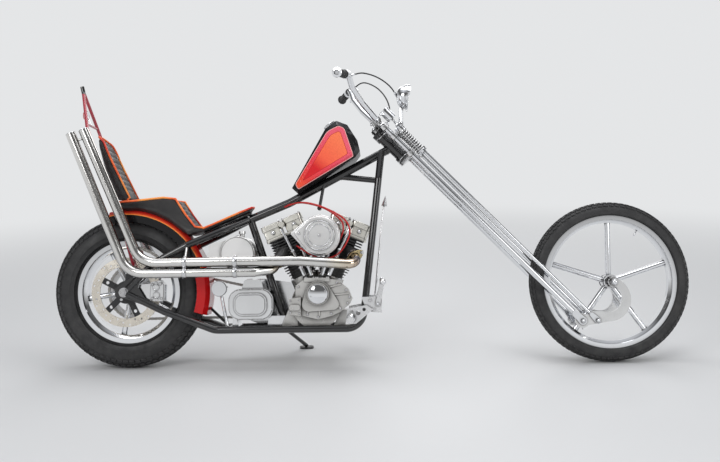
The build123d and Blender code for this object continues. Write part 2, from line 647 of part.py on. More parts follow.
# Control cables, held from the grips down to the lamp and the upper tree.
CABLE_R = 3.0
THROTTLE_CABLE = [(950, -160, 1204), (990, -132, 1226), (1028, -104, 1226), (1067, -84, 1216), (1106, -58, 1196),
                  (1138, -30, 1168), (1152, -6, 1142)]
LEVER_CABLE = [(954, 160, 1206), (998, 112, 1236), (1030, 88, 1224), (1075, 62, 1194), (1109, 42, 1146),
               (1124, 38, 1092), (1112, 44, 1042), fork_point(-84, 40, 46)]
with BuildPart() as cables:
    for route in (THROTTLE_CABLE, LEVER_CABLE):
        add(bar(route, CABLE_R, 20))
    add(handlebar.part, mode=Mode.SUBTRACT)
    add(headlamp.part, mode=Mode.SUBTRACT)
    add(fork_trees.part, mode=Mode.SUBTRACT)
cables.part.label = "cables"


# Engine: round cases, two leaning finned cylinders, rocker boxes, and the covers on the right.
def cylinder_plane(lean, out):
    """A plane square to a cylinder's axis, out from the crank's middle."""
    way = Vector(sin(radians(lean)), 0, cos(radians(lean)))
    origin = Vector(CRANK_X, 0, CRANK_Z) + way * out
    return Plane(origin=origin, x_dir=(cos(radians(lean)), 0, -sin(radians(lean))), z_dir=way)


CASE_HALF = 74.0
BARREL_START = 144.0
BARREL_END = 326.0
HEAD_START = 262.0
FIN_STEP = 12.0
FIN_THICK = 4.0
BARREL_FINS = 9
HEAD_FINS = 6
TIMER_X = 808.0
TIMER_Z = 306.0
TAPPET_Z = 372.0
PUSHROD_Y = -92.0
FRONT_PORT_ROOT = Vector(922, -18, 507)
FRONT_PORT = Vector(957, -96, 461)
FRONT_PIPE_TURN = FRONT_PORT + (FRONT_PORT - FRONT_PORT_ROOT) * 0.8
REAR_PORT_ROOT = Vector(676, -36, 506)
REAR_PORT = Vector(641, -88, 445)
REAR_PIPE_TURN = REAR_PORT + (REAR_PORT - REAR_PORT_ROOT) * 0.6
# Each pushrod tube in the side view: its foot (x, z) and its head (x, z).
PUSHRODS = (((764, 360), (655, 580)), ((790, 360), (716, 566)), ((842, 360), (943, 580)), ((816, 360), (884, 566)))
CAM_COVER = [(689, 232), (760, 210), (807, 199), (867, 214), (902, 231), (939, 260), (951, 283), (934, 325),
             (891, 362), (845, 368), (779, 368), (744, 362), (714, 340), (713, 296), (689, 284)]

with BuildPart() as engine_cases:
    add(pin(CRANK_X, CRANK_Z + 14, -CASE_HALF, CASE_HALF, 106))
    for lean in (-CYLINDER_LEAN, CYLINDER_LEAN):
        with BuildSketch(cylinder_plane(lean, 60)):
            Circle(62)
        extrude(amount=BARREL_START - 60)
    add(cut_plate(CAM_COVER, -104, -CASE_HALF))
    add(round_plate([(TIMER_X, TIMER_Z, 54), (770, 262, 30), (870, 262, 24)], -112, -104))
    add(pin(TIMER_X, TIMER_Z, -134, -112, 46))
    add(pin(TIMER_X, TIMER_Z, -140, -134, 38))
    # Oil pump behind the cover, and the two tappet blocks above it.
    add(cut_plate([(686, 222), (736, 214), (736, 292), (686, 286)], -120, -104))
    add(round_plate([(700, 250, 12), (722, 250, 12)], -128, -120))
    for x in (777, 829):
        add(cut_plate([(x - 28, 356), (x + 28, 356), (x + 26, TAPPET_Z), (x - 26, TAPPET_Z)], -108, -70))
    # Mounting feet over the cross tubes, each from x to x.
    for x_low, x_high in ((648, 718), (868, 934)):
        add(cut_plate([(x_low, 165), (x_high, 165), (x_high - 4, 236), (x_low + 30, 236)], -58, 58))
    add(frame_backbone.part, mode=Mode.SUBTRACT)
engine_cases.part.label = "engine_cases"

with BuildPart() as cylinders:
    for lean in (-CYLINDER_LEAN, CYLINDER_LEAN):
        with BuildSketch(cylinder_plane(lean, BARREL_START)):
            Circle(52)
        extrude(amount=BARREL_END - BARREL_START)
        for step in range(BARREL_FINS):
            out = BARREL_START + 8 + FIN_STEP * step
            with BuildSketch(cylinder_plane(lean, out)):
                Circle(min(70, (out + 4) * sin(radians(CYLINDER_LEAN)) - 2))
            extrude(amount=FIN_THICK)
        for step in range(HEAD_FINS):
            with BuildSketch(cylinder_plane(lean, HEAD_START + FIN_STEP * step)):
                RectangleRounded(160, 150, 22)
            extrude(amount=FIN_THICK)
    add(bar([FRONT_PORT_ROOT, FRONT_PORT], 26))
    add(bar([REAR_PORT_ROOT, REAR_PORT], 26))
cylinders.part.label = "cylinders"

# Each head carries a split box: a low base, then two lidded halves with a gap between them.
with BuildPart() as rocker_boxes:
    for lean in (-CYLINDER_LEAN, CYLINDER_LEAN):
        with BuildSketch(cylinder_plane(lean, BARREL_END)):
            RectangleRounded(180, 108, 16)
        extrude(amount=12)
        with BuildSketch(cylinder_plane(lean, BARREL_END + 12)):
            with Locations((-48, 0), (48, 0)):
                RectangleRounded(80, 98, 14)
        extrude(amount=46)
        with BuildSketch(cylinder_plane(lean, BARREL_END + 50)):
            with Locations((-48, 0), (48, 0)):
                RectangleRounded(86, 106, 16)
        extrude(amount=20)
    for foot, head in PUSHRODS:
        add(pin(head[0], head[1] + 18, -100, -40, 12))
rocker_boxes.part.label = "rocker_boxes"

AIR_X = 819.0
AIR_Z = 547.0
with BuildPart() as air_cleaner:
    add(round_plate([(AIR_X, AIR_Z, 78), (714, 556, 6)], -118, -106))
    add(round_plate([(AIR_X, AIR_Z, 85), (708, 556, 8)], -150, -118))
    add(round_plate([(AIR_X, AIR_Z, 78), (722, 556, 6)], -156, -150))
    add(pin(AIR_X, AIR_Z, -162, -156, 60))
air_cleaner.part.label = "air_cleaner"

with BuildPart() as carburettor:
    add(pin(CRANK_X + 4, 540, -106, -88, 30))
    add(pin(CRANK_X + 4, 540, -88, -20, 22))
    add(pin(CRANK_X + 4, 540, -30, 20, 17))
carburettor.part.label = "carburettor"

with BuildPart() as pushrod_tubes:
    for foot, head in PUSHRODS:
        low = (foot[0], PUSHROD_Y, foot[1])
        high = (head[0], PUSHROD_Y + 6, head[1])
        add(bar([low, high], 6.5))
        add(bar([low, along(low, high, 64)], 9.5))
    add(engine_cases.part, mode=Mode.SUBTRACT)
    add(rocker_boxes.part, mode=Mode.SUBTRACT)
pushrod_tubes.part.label = "pushrod_tubes"

# Plug wires: from the top tube over and round the air cleaner, down to the two heads.
REAR_PLUG_WIRE = [(664, -16, 676), (712, -62, 690), (760, -106, 688), (808, -122, 676), (866, -126, 652),
                  (926, -126, 616), (949, -122, 565), (931, -118, 515), (897, -112, 468), (846, -110, 450),
                  (800, -112, 458), (752, -114, 486), (722, -112, 506), (715, -76, 510)]
FRONT_PLUG_WIRE = [(676, -16, 682), (722, -50, 694), (790, -94, 680), (850, -114, 658), (912, -114, 612),
                   (920, -114, 570), (902, -112, 532), (896, -76, 520)]
with BuildPart() as plug_wires:
    for route in (REAR_PLUG_WIRE, FRONT_PLUG_WIRE):
        add(bar(route, 3.5, 14))
    add(frame_backbone.part, mode=Mode.SUBTRACT)
    add(cylinders.part, mode=Mode.SUBTRACT)
plug_wires.part.label = "plug_wires"

# Exhaust: two swept pipes that turn up behind the rider.
UPPER_TIP = (-157, PIPE_Y, 1000)
LOWER_TIP = (-211, PIPE_Y, 985)
UPPER_BEND = (78, PIPE_Y, UPPER_PIPE_Z)
LOWER_BEND = (24, PIPE_Y, LOWER_PIPE_Z)
with BuildPart() as exhaust_pipes:
    add(bar([FRONT_PORT, FRONT_PIPE_TURN, (737, PIPE_Y, UPPER_PIPE_Z), UPPER_BEND, UPPER_TIP], PIPE_R, 40))
    add(bar([REAR_PORT, REAR_PIPE_TURN, (545, PIPE_Y, LOWER_PIPE_Z), LOWER_BEND, LOWER_TIP], PIPE_R, 40))
    add(bar([FRONT_PORT, along(FRONT_PORT, FRONT_PIPE_TURN, 9)], 30))
    add(bar([REAR_PORT, along(REAR_PORT, REAR_PIPE_TURN, 9)], 30))
    for tip, bend in ((UPPER_TIP, UPPER_BEND), (LOWER_TIP, LOWER_BEND)):
        add(bar([along(tip, bend, -2), along(tip, bend, 70)], PIPE_R - PIPE_WALL), mode=Mode.SUBTRACT)
    # The tips' tie, and the strap to the seat stay.
    add(bar([along(UPPER_TIP, UPPER_BEND, 36), along(LOWER_TIP, LOWER_BEND, 36)], 4))
    for tip, bend in ((UPPER_TIP, UPPER_BEND), (LOWER_TIP, LOWER_BEND)):
        add(bar([along(tip, bend, -2), along(tip, bend, 70)], PIPE_R - PIPE_WALL), mode=Mode.SUBTRACT)
    add(bar([(262, -116, 508), (262, PIPE_Y + 4, UPPER_PIPE_Z + 8)], 6))
    add(frame_right.part, mode=Mode.SUBTRACT)
exhaust_pipes.part.label = "exhaust_pipes"

# Gearbox: its case, a stepped side cover on the right and a sprocket on the left.
GEARBOX_X = 526.0
GEARBOX_Z = 265.0
CHAIN_FRONT_X = 532.9
CHAIN_FRONT_Z = 265.0
FRONT_SPROCKET_TEETH = 24
FRONT_SPROCKET_R = 54.0
with BuildPart() as gearbox:
    with BuildSketch(side_plane(70)):
        with Locations((GEARBOX_X, GEARBOX_Z)):
            RectangleRounded(176, 118, 34)
    extrude(amount=145)
    add(cut_plate([(482, 318), (495, 361), (504, 368), (567, 366), (580, 318)], -82, 50))
    # Each step of the cover: width, height, corner radius, from y, to y.
    for width, height, corner, y_high, y_low in ((188, 130, 50, -75, -104), (176, 118, 44, -104, -114),
                                                 (136, 92, 36, -114, -124), (120, 76, 28, -124, -130)):
        with BuildSketch(side_plane(y_high)):
            with Locations((GEARBOX_X, GEARBOX_Z)):
                RectangleRounded(width, height, corner)
        extrude(amount=y_high - y_low)
    add(pin(CHAIN_FRONT_X, CHAIN_FRONT_Z, 70, 96, 20))
    add(toothed(CHAIN_FRONT_X, CHAIN_FRONT_Z, FRONT_SPROCKET_TEETH, FRONT_SPROCKET_R, 86, 92))
    for x_low, x_high in ((440, 470), (590, 690)):
        add(cut_plate([(x_low, 165), (x_high, 165), (x_high - 14, 214), (x_low + 4, 214)], -54, 54))
    add(frame_backbone.part, mode=Mode.SUBTRACT)
    add(engine_cases.part, mode=Mode.SUBTRACT)
gearbox.part.label = "gearbox"

with BuildPart() as oil_filter:
    add(pin(395, 332, -116, -62, 30))
    add(pin(395, 332, -106, -98, 33))
    add(bar([(428, -84, RAIL_Z), (398, -84, 316)], 7))
    add(frame_backbone.part, mode=Mode.SUBTRACT)
oil_filter.part.label = "oil_filter"

with BuildPart() as drive_cover:
    add(round_plate([(CRANK_X, CRANK_Z + 6, 78), (548, 272, 98)], 98, 140))
    add(round_plate([(CRANK_X, CRANK_Z + 6, 68), (548, 272, 88)], 140, 148))
    add(pin(548, 272, 148, 152, 62))
    add(pin(CRANK_X, CRANK_Z + 6, 74, 98, 40))
    add(frame_left.part, mode=Mode.SUBTRACT)
    add(engine_cases.part, mode=Mode.SUBTRACT)
drive_cover.part.label = "drive_cover"

# Final drive chain: a loop of waisted links round the two sprockets' pitch circles.
CHAIN_PITCH = 15.875
LINKS = 104
REAR_PITCH_R = CHAIN_PITCH / (2 * sin(radians(180 / SPROCKET_TEETH)))
FRONT_PITCH_R = CHAIN_PITCH / (2 * sin(radians(180 / FRONT_SPROCKET_TEETH)))
LINK_HALF = 5.5
WAIST_HALF = 3.8
chain_line = Vector(CHAIN_FRONT_X, 0, CHAIN_FRONT_Z) - Vector(0, 0, REAR_TYRE_R)
CHAIN_SPAN = chain_line.length
chain_tilt = atan2(chain_line.Z, chain_line.X)
CHAIN_SPREAD = acos((REAR_PITCH_R - FRONT_PITCH_R) / CHAIN_SPAN)
CHAIN_RUN = sqrt(CHAIN_SPAN ** 2 - (REAR_PITCH_R - FRONT_PITCH_R) ** 2)


def on_chain(share):
    """A place on the chain's loop by its share of the way round, and the way out from it."""
    rear_arc = REAR_PITCH_R * (2 * pi - 2 * CHAIN_SPREAD)
    front_arc = FRONT_PITCH_R * 2 * CHAIN_SPREAD
    way = share * (rear_arc + front_arc + 2 * CHAIN_RUN)
    upper, lower = chain_tilt + CHAIN_SPREAD, chain_tilt - CHAIN_SPREAD
    rear, front = Vector(0, 0, REAR_TYRE_R), Vector(CHAIN_FRONT_X, 0, CHAIN_FRONT_Z)
    if way < rear_arc:
        middle, angle, out, slide = rear, upper + way / REAR_PITCH_R, REAR_PITCH_R, 0
    elif way < rear_arc + CHAIN_RUN:
        middle, angle, out, slide = rear, lower, REAR_PITCH_R, way - rear_arc
    elif way < rear_arc + CHAIN_RUN + front_arc:
        middle, angle, out, slide = front, lower + (way - rear_arc - CHAIN_RUN) / FRONT_PITCH_R, FRONT_PITCH_R, 0
    else:
        middle, angle, out, slide = front, upper, FRONT_PITCH_R, way - rear_arc - CHAIN_RUN - front_arc
    outwards = Vector(cos(angle), 0, sin(angle))
    return middle + outwards * out + Vector(-outwards.Z, 0, outwards.X) * slide, outwards


with BuildPart() as drive_chain:
    for side, mode in ((1, Mode.ADD), (-1, Mode.SUBTRACT)):
        edge = []
        for step in range(2 * LINKS):
            place, outwards = on_chain(step / (2 * LINKS))
            point = place + outwards * side * (WAIST_HALF if step % 2 else LINK_HALF)
            edge.append((point.X, point.Z))
        add(cut_plate(edge, 81 + min(side, 0), 97 - min(side, 0)), mode=mode)
drive_chain.part.label = "drive_chain"

# Oil tank: a round can with a wedge behind it and a filler on top.
with BuildPart() as oil_tank:
    add(pin(470, 478, -92, 92, 71))
    add(pin(470, 478, -98, 98, 66))
    add(cut_plate([(338, 448), (440, 420), (440, 538), (352, 520)], -80, 80))
    with BuildSketch(Plane.XY.offset(540)):
        with Locations((484, -40)):
            Circle(10)
    extrude(amount=24)
    with BuildSketch(Plane.XY.offset(562)):
        with Locations((484, -40)):
            Circle(14)
    extrude(amount=12)
    add(round_plate([(530, 478, 12), (564, 478, 12)], -5, 5))
    add(frame_backbone.part, mode=Mode.SUBTRACT)
oil_tank.part.label = "oil_tank"

# Fuel tank: a tall prism on the top tube, with flat sides that narrow to their edges.
TANK_OUTLINE = [(702, 750), (846, 1000), (892, 1032), (938, 1014), (980, 947), (990, 903), (971, 877), (727, 726)]
TANK_HALF = 88.0
TANK_BEVEL = 18.0
with BuildPart() as fuel_tank:
    for side in (-1, 1):
        with BuildSketch(side_plane(0)):
            with BuildLine():
                Polyline(*TANK_OUTLINE, close=True)
            make_face()
        extrude(amount=-side * TANK_HALF)
        with BuildSketch(side_plane(side * TANK_HALF)):
            with BuildLine():
                Polyline(*TANK_OUTLINE, close=True)
            make_face()
        extrude(amount=-side * TANK_BEVEL, taper=45)
    add(bar([(NECK_X, 0, NECK_Z), TOP_TUBE_BEND], 18), mode=Mode.SUBTRACT)
fuel_tank.part.label = "fuel_tank"

with BuildPart() as fuel_cap:
    with BuildSketch(Plane(origin=(868, 0, 1014), x_dir=(0, 1, 0), z_dir=(-0.57, 0, 0.82))):
        Circle(24)
    extrude(amount=12)
    with BuildSketch(Plane(origin=(864, 0, 1020), x_dir=(0, 1, 0), z_dir=(-0.57, 0, 0.82))):
        Circle(28)
    extrude(amount=12)
    add(fuel_tank.part, mode=Mode.SUBTRACT)
fuel_cap.part.label = "fuel_cap"

# Rear fender: a shallow channel round the tyre, held by spacers and a stay.
FENDER_START = -17.0
FENDER_ARC = 120.0
FENDER_HALF = 78.0
FENDER_CROWN_R = 348.0
with BuildPart() as rear_fender:
    with BuildSketch(wheel_plane(0, REAR_TYRE_R, 90 - FENDER_START)):
        with BuildLine():
            Polyline((-FENDER_HALF, 296), (-FENDER_HALF, 332), (-54, FENDER_CROWN_R), (54, FENDER_CROWN_R),
                     (FENDER_HALF, 332), (FENDER_HALF, 296), (75, 296), (75, 330.5), (53, 345), (-53, 345),
                     (-75, 330.5), (-75, 296), close=True)
        make_face()
    revolve(axis=wheel_axis(0, REAR_TYRE_R), revolution_arc=-FENDER_ARC)
    for side in (-1, 1):
        add(pin(-24, 640, side * 79 - 3, side * 79 + 3, 6))
    add(bar([(338, 0, 250), (424, 0, 166)], 6))
    add(frame_backbone.part, mode=Mode.SUBTRACT)
rear_fender.part.label = "rear_fender"

# The bar behind the pad: two rods from the axle plates that meet in a point at the top.
SISSY_R = 7.0
SISSY_ROD = ((46, 109, 396), (-24, 88, 640), (-163, 88, 1016), (-206, 4, 1186))
with BuildPart() as sissy_bar:
    for side in (-1, 1):
        add(bar([(x, side * y, z) for x, y, z in SISSY_ROD], SISSY_R, 50))
    add(bar([(-43, -88, 690), (-43, 88, 690)], 5))
    add(bar([(-170, -78, 1038), (-170, 78, 1038)], 5))
    add(bar([(-205, 0, 1180), (-212, 0, 1212)], 9))
    add(rear_fender.part, mode=Mode.SUBTRACT)
    add(frame_right.part, mode=Mode.SUBTRACT)
    add(frame_left.part, mode=Mode.SUBTRACT)
sissy_bar.part.label = "sissy_bar"

with BuildPart() as tail_lamp:
    with BuildSketch(Plane(origin=(-186, 0, 1086), x_dir=(0, 1, 0), z_dir=(-1, 0, 0))):
        Circle(20)
    extrude(amount=10)
    with BuildSketch(Plane(origin=(-196, 0, 1086), x_dir=(0, 1, 0), z_dir=(-1, 0, 0))):
        Circle(17)
    extrude(amount=7)
    add(bar([(-188, 0, 1078), (-170, 0, 1038)], 4))
    add(sissy_bar.part, mode=Mode.SUBTRACT)
tail_lamp.part.label = "tail_lamp"

# Seat and back pad: a side outline cut by the outline seen from above or from the front.
SEAT_FLOOR_R = 352.0
SEAT_HALF = 96.0
with BuildPart() as seat:
    with BuildSketch(side_plane(SEAT_HALF)):
        with BuildLine():
            Polyline((-30, REAR_TYRE_R + 350.7), (-40, 700), (30, 706), (160, 718), (212, 712), (250, 650), (292, 594),
                     (328, 588), (362, 602), (478, 655), (530, 676), (520, 656), (330, 573),
                     (262, REAR_TYRE_R + 235.1))
            ThreePointArc((262, REAR_TYRE_R + 235.1), (120, REAR_TYRE_R + 330.9), (-30, REAR_TYRE_R + 350.7))
        make_face()
    extrude(amount=2 * SEAT_HALF)
    with BuildSketch(Plane.XY.offset(500)):
        with BuildLine():
            Polyline((-50, -88), (200, -SEAT_HALF), (330, -88), (450, -56), (540, -30), (540, 30), (450, 56), (330, 88),
                     (200, SEAT_HALF), (-50, 88), close=True)
        make_face()
    extrude(amount=300, mode=Mode.INTERSECT)
    add(sissy_bar.part, mode=Mode.SUBTRACT)
    add(frame_backbone.part, mode=Mode.SUBTRACT)
seat.part.label = "seat"

with BuildPart() as back_pad:
    with BuildSketch(side_plane(76)):
        with BuildLine():
            Polyline((-100, 962), (-49, 850), (14, 722), (2, 706), (-42, 706), (-90, 840), (-133, 990), close=True)
        make_face()
    extrude(amount=152)
    with BuildSketch(Plane.YZ.offset(-200)):
        with BuildLine():
            Line((-76, 700), (-76, 900))
            ThreePointArc((-76, 900), (0, 995), (76, 900))
            Line((76, 900), (76, 700))
            Line((76, 700), (-76, 700))
        make_face()
    extrude(amount=300, mode=Mode.INTERSECT)
    add(seat.part, mode=Mode.SUBTRACT)
    add(sissy_bar.part, mode=Mode.SUBTRACT)
back_pad.part.label = "back_pad"

# Foot controls: a plate, a peg, a cut out pedal and a toe peg on each side, and on the left a
# hand lever with a pointed tip.
PLATE_Y = 142.0
TOE_PEG = (1077.0, 354.0)
FOOT_PEG = (946.0, 206.0)
with BuildPart() as foot_controls:
    for side in (-1, 1):
        add(cut_plate([(987, 291), (1072, 292), (1072, 226), (1031, 228), (1007, 245)],
                      side * PLATE_Y - 4, side * PLATE_Y + 4))
        for x, z in ((1004, 272), (1016, 240)):
            add(pin(x, z, side * 122 - 17, side * 122 + 17, 8))
        add(round_plate([(1056, 262, 10), (TOE_PEG[0], TOE_PEG[1], 9)], side * 150 - 4, side * 150 + 4))
        add(pin(TOE_PEG[0], TOE_PEG[1], side * 186 - 36, side * 186 + 36, 7))
        with Locations((TOE_PEG[0], side * 224, TOE_PEG[1])):
            Sphere(13)
        add(cut_plate([(930, 244), (922, 180), (966, 182), (1036, 240), (1010, 258)],
                      side * 150 - 4, side * 150 + 4))
        for x, z, radius in ((948, 228, 9), (974, 226, 10), (999, 240, 7)):
            add(pin(x, z, side * 150 - 10, side * 150 + 10, radius), mode=Mode.SUBTRACT)
        add(pin(FOOT_PEG[0], FOOT_PEG[1], side * 206 - 60, side * 206 + 60, 12))
    add(bar([(1040, PLATE_Y, 262), (1046, 168, 300), (1079, 196, 603), (1092, 200, 694)], 4.5, 30))
    with BuildSketch(Plane(origin=(1092, 200, 688), z_dir=(0.15, 0, 1))):
        Circle(14)
    extrude(amount=46, taper=15.5)
    add(frame_right.part, mode=Mode.SUBTRACT)
    add(frame_left.part, mode=Mode.SUBTRACT)
foot_controls.part.label = "foot_controls"

# Everything is leaned onto the side stand and set with its origin below its middle.
PIECES = [front_tyre, front_wheel, rear_tyre, rear_wheel, brake_disc, rear_sprocket, rear_axle, brake_caliper,
          frame_backbone, frame_right, frame_left, side_stand, fork_trees, rear_legs, front_legs, front_axle, rockers,
          springs, handlebar, grips, headlamp, headlamp_lens, speedometer, cables, engine_cases, cylinders,
          rocker_boxes, air_cleaner, carburettor, pushrod_tubes, plug_wires, exhaust_pipes, gearbox, oil_filter,
          drive_cover, drive_chain, oil_tank, fuel_tank, fuel_cap, rear_fender, sissy_bar, tail_lamp, seat, back_pad,
          foot_controls]
leaning = Location((0, 0, 0), (-LEAN, 0, 0))
corners = [piece.part.moved(leaning).bounding_box() for piece in PIECES]
middle_x = (min(box.min.X for box in corners) + max(box.max.X for box in corners)) / 2
middle_y = (min(box.min.Y for box in corners) + max(box.max.Y for box in corners)) / 2
lowest = min(box.min.Z for box in corners)
parked = Location((-middle_x, -middle_y, -lowest)) * leaning
for piece in PIECES:
    leaned = piece.part.moved(parked)
    leaned.label = piece.part.label
    export_step(leaned, f"parts/{piece.part.label}.step")
print("origin", round(middle_x, 3), round(middle_y, 3), round(lowest, 3))
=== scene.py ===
"""A long forked custom motorcycle, dressed around its CAD frame: paint, chrome, castings,
tyres, upholstery, chain and fastenings, parked on its side stand in a plain studio."""

from math import acos, atan2, cos, hypot, pi, radians, sin, sqrt, tan

import bpy
from mathutils import Matrix, Quaternion, Vector
from mathutils.kdtree import KDTree
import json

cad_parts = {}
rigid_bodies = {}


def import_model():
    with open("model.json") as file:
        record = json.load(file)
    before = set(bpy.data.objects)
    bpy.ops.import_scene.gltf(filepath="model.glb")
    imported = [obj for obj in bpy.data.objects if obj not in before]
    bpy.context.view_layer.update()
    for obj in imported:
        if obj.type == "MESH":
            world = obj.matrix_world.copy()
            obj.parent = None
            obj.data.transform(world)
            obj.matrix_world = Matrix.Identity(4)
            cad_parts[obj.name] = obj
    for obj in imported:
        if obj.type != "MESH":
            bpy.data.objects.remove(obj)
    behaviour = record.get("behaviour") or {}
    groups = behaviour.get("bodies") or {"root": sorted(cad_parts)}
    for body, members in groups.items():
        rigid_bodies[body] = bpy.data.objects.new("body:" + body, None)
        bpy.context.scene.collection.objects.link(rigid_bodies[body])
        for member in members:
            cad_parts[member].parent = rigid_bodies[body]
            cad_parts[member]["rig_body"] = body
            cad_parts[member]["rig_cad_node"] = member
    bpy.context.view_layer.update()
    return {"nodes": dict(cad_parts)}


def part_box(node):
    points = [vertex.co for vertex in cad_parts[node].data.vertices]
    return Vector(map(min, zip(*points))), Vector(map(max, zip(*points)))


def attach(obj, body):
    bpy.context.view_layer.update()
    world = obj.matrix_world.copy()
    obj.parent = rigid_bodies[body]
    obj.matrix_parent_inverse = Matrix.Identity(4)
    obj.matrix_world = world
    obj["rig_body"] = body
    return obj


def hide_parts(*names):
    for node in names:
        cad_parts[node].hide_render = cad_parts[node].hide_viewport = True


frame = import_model()
bpy.ops.object.select_all(action="DESELECT")

# Studio: a camera low on the machine's right, a pale floor that fades into the backdrop,
# and four soft boxes, with a darker ring high round the room that gives chrome its shape.
scene = bpy.context.scene
scene.view_settings.view_transform = "Standard"
camera_data = bpy.data.cameras.new("camera")
camera_data.sensor_width = 36
camera_data.lens = 45.52
camera = bpy.data.objects.new("camera", camera_data)
scene.collection.objects.link(camera)
scene.camera = camera
aim = Matrix.Translation((0.0145, -3.9186, 1.0925))
for degrees, axis in ((0.86, "Z"), (-7.82, "X"), (0.95, "Y"), (90, "X")):
    aim = aim @ Matrix.Rotation(radians(degrees), 4, axis)
camera.matrix_world = aim

# Each soft box: name, place, width, height, power.
SOFT_BOXES = (
    ("key_box", (-2.6, -3.6, 3.2), 2.6, 1.8, 74),
    ("fill_box", (3.2, -3.0, 2.2), 1.6, 2.2, 34),
    ("top_box", (0.2, 0.2, 3.6), 4.2, 1.4, 58),
    ("rear_box", (0.4, 4.0, 2.6), 3.4, 1.4, 36),
)
LIT = Vector((0, 0, 0.45))
for name, place, width, height, power in SOFT_BOXES:
    light = bpy.data.lights.new(name, "AREA")
    light.shape = "RECTANGLE"
    light.size = width
    light.size_y = height
    light.energy = power
    lamp = bpy.data.objects.new(name, light)
    scene.collection.objects.link(lamp)
    lamp.location = place
    lamp.rotation_euler = (LIT - Vector(place)).to_track_quat("-Z", "Y").to_euler()


def feed(node, inputs):
    """Gives each named input of a node its value, or a link where the value is a socket."""
    for socket, value in inputs.items():
        if isinstance(value, bpy.types.NodeSocket):
            node.id_data.links.new(value, node.inputs[socket])
        else:
            node.inputs[socket].default_value = value
    return node


def wired(tree, kind, inputs=(), **settings):
    """A new shader node with its settings and its inputs."""
    node = tree.nodes.new("ShaderNode" + kind)
    for setting, value in settings.items():
        setattr(node, setting, value)
    return feed(node, dict(inputs))


def eased(tree, value, low, high, to_low=0.0, to_high=1.0, **settings):
    """A value brought from one range to another."""
    ends = {"Value": value, "From Min": low, "From Max": high, "To Min": to_low, "To Max": to_high}
    return wired(tree, "MapRange", ends, **settings).outputs["Result"]


def reckoned(tree, operation, *values, kind="Math", gives="Value"):
    """What a sum of values gives."""
    return wired(tree, kind, enumerate(values), operation=operation).outputs[gives]


def height_of(tree, place):
    return wired(tree, "SeparateXYZ", {"Vector": place}).outputs["Z"]


def here_in(tree, space="Object"):
    """A piece's own coordinates."""
    return wired(tree, "TexCoord").outputs[space]


def ramp(tree, value, *stops):
    """A colour that follows a value through stops of (position, colour)."""
    bands = wired(tree, "ValToRGB", {"Fac": value})
    made = bands.color_ramp.elements
    for stop, (position, colour) in zip(made, stops):
        stop.position = position
        stop.color = (*colour, 1)
    for position, colour in stops[2:]:
        made.new(position).color = (*colour, 1)
    return bands.outputs["Color"]


def blank(name):
    """A new material, its tree of nodes and its surface."""
    material = bpy.data.materials.new(name)
    material.use_nodes = True
    return material, material.node_tree, material.node_tree.nodes["Principled BSDF"]


BACKDROP = (0.78, 0.79, 0.80)
world = bpy.data.worlds.new("studio")
scene.world = world
world.use_nodes = True
tree = world.node_tree
room = ramp(tree, height_of(tree, here_in(tree, "Generated")), (0.115, BACKDROP), (0.90, (0.84, 0.86, 0.90)),
            (0.22, (0.50, 0.50, 0.50)), (0.34, (0.13, 0.13, 0.13)), (0.60, (0.12, 0.12, 0.12)))
feed(tree.nodes["Background"], {"Color": room, "Strength": 1.0})

bpy.ops.mesh.primitive_circle_add(vertices=96, radius=14, fill_type="NGON", location=(0, 0, 0))
floor = bpy.context.object
floor.name = "floor"
floor_paint, tree, skin = blank("floor_paint")
feed(skin, {"Base Color": (0.68, 0.685, 0.69, 1), "Roughness": 0.55})
reach = reckoned(tree, "LENGTH", here_in(tree), kind="VectorMath")
fade = eased(tree, reach, 1.3, 6.5, interpolation_type="SMOOTHSTEP")
glow = wired(tree, "Emission", {"Color": (*BACKDROP, 1)}).outputs["Emission"]
blend = wired(tree, "MixShader", {"Fac": fade, 1: skin.outputs["BSDF"], 2: glow}).outputs["Shader"]
feed(tree.nodes["Material Output"], {"Surface": blend})
floor.data.materials.append(floor_paint)
bpy.ops.object.select_all(action="DESELECT")

# Tyres: black rubber, tall and narrow in front and fat behind, each with raised rings on
# its walls and staggered blocks round its tread, moulded and cured in one piece.
LEAN = radians(10.2)
REAR_AXLE = Vector((0, 0, 0.322))
FRONT_AXLE = Vector((2.040, 0, 0.338))
axle_low, axle_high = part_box("rear_axle")
axle_middle = (axle_low + axle_high) / 2


def turn_about(axis, angle):
    return Matrix.Rotation(angle, 4, axis)


PARKED = Matrix.Translation(axle_middle) @ turn_about("X", -LEAN) @ Matrix.Translation(-REAR_AXLE)
TO_SIDE = turn_about("X", radians(-90))


def moved(piece, *moves):
    """Moves a piece's mesh by each matrix in turn."""
    for move in moves:
        piece.data.transform(move)
    return piece


def copied(piece, *moves):
    """A copy of a piece, with a mesh of its own, moved by each matrix in turn."""
    copy = piece.copy()
    copy.data = piece.data.copy()
    scene.collection.objects.link(copy)
    return moved(copy, *moves)


def set_at(piece, place, *turns):
    """Puts a piece's mesh at a place of the upright machine, turned first if asked."""
    return moved(piece, *turns, Matrix.Translation(place))


def apply_modifiers(piece):
    bpy.context.view_layer.objects.active = piece
    for modifier in list(piece.modifiers):
        bpy.ops.object.modifier_apply(modifier=modifier.name)


def bevelled(piece, width, segments=2):
    """Rounds a piece's sharp edges and shades the rest smooth."""
    edge = piece.modifiers.new("edge", "BEVEL")
    edge.width = width
    edge.segments = segments
    edge.limit_method = "ANGLE"
    edge.angle_limit = radians(35)
    apply_modifiers(piece)
    bpy.ops.object.shade_smooth_by_angle(angle=radians(35))
    flat_faces = piece.modifiers.new("flat_faces", "WEIGHTED_NORMAL")
    flat_faces.keep_sharp = True
    apply_modifiers(piece)
    return piece


def slab(size, edge, segments=2):
    """A rectangular block about the middle, with rounded edges."""
    bpy.ops.mesh.primitive_cube_add(size=1)
    return bevelled(moved(bpy.context.object, Matrix.Diagonal((*size, 1))), edge, segments)


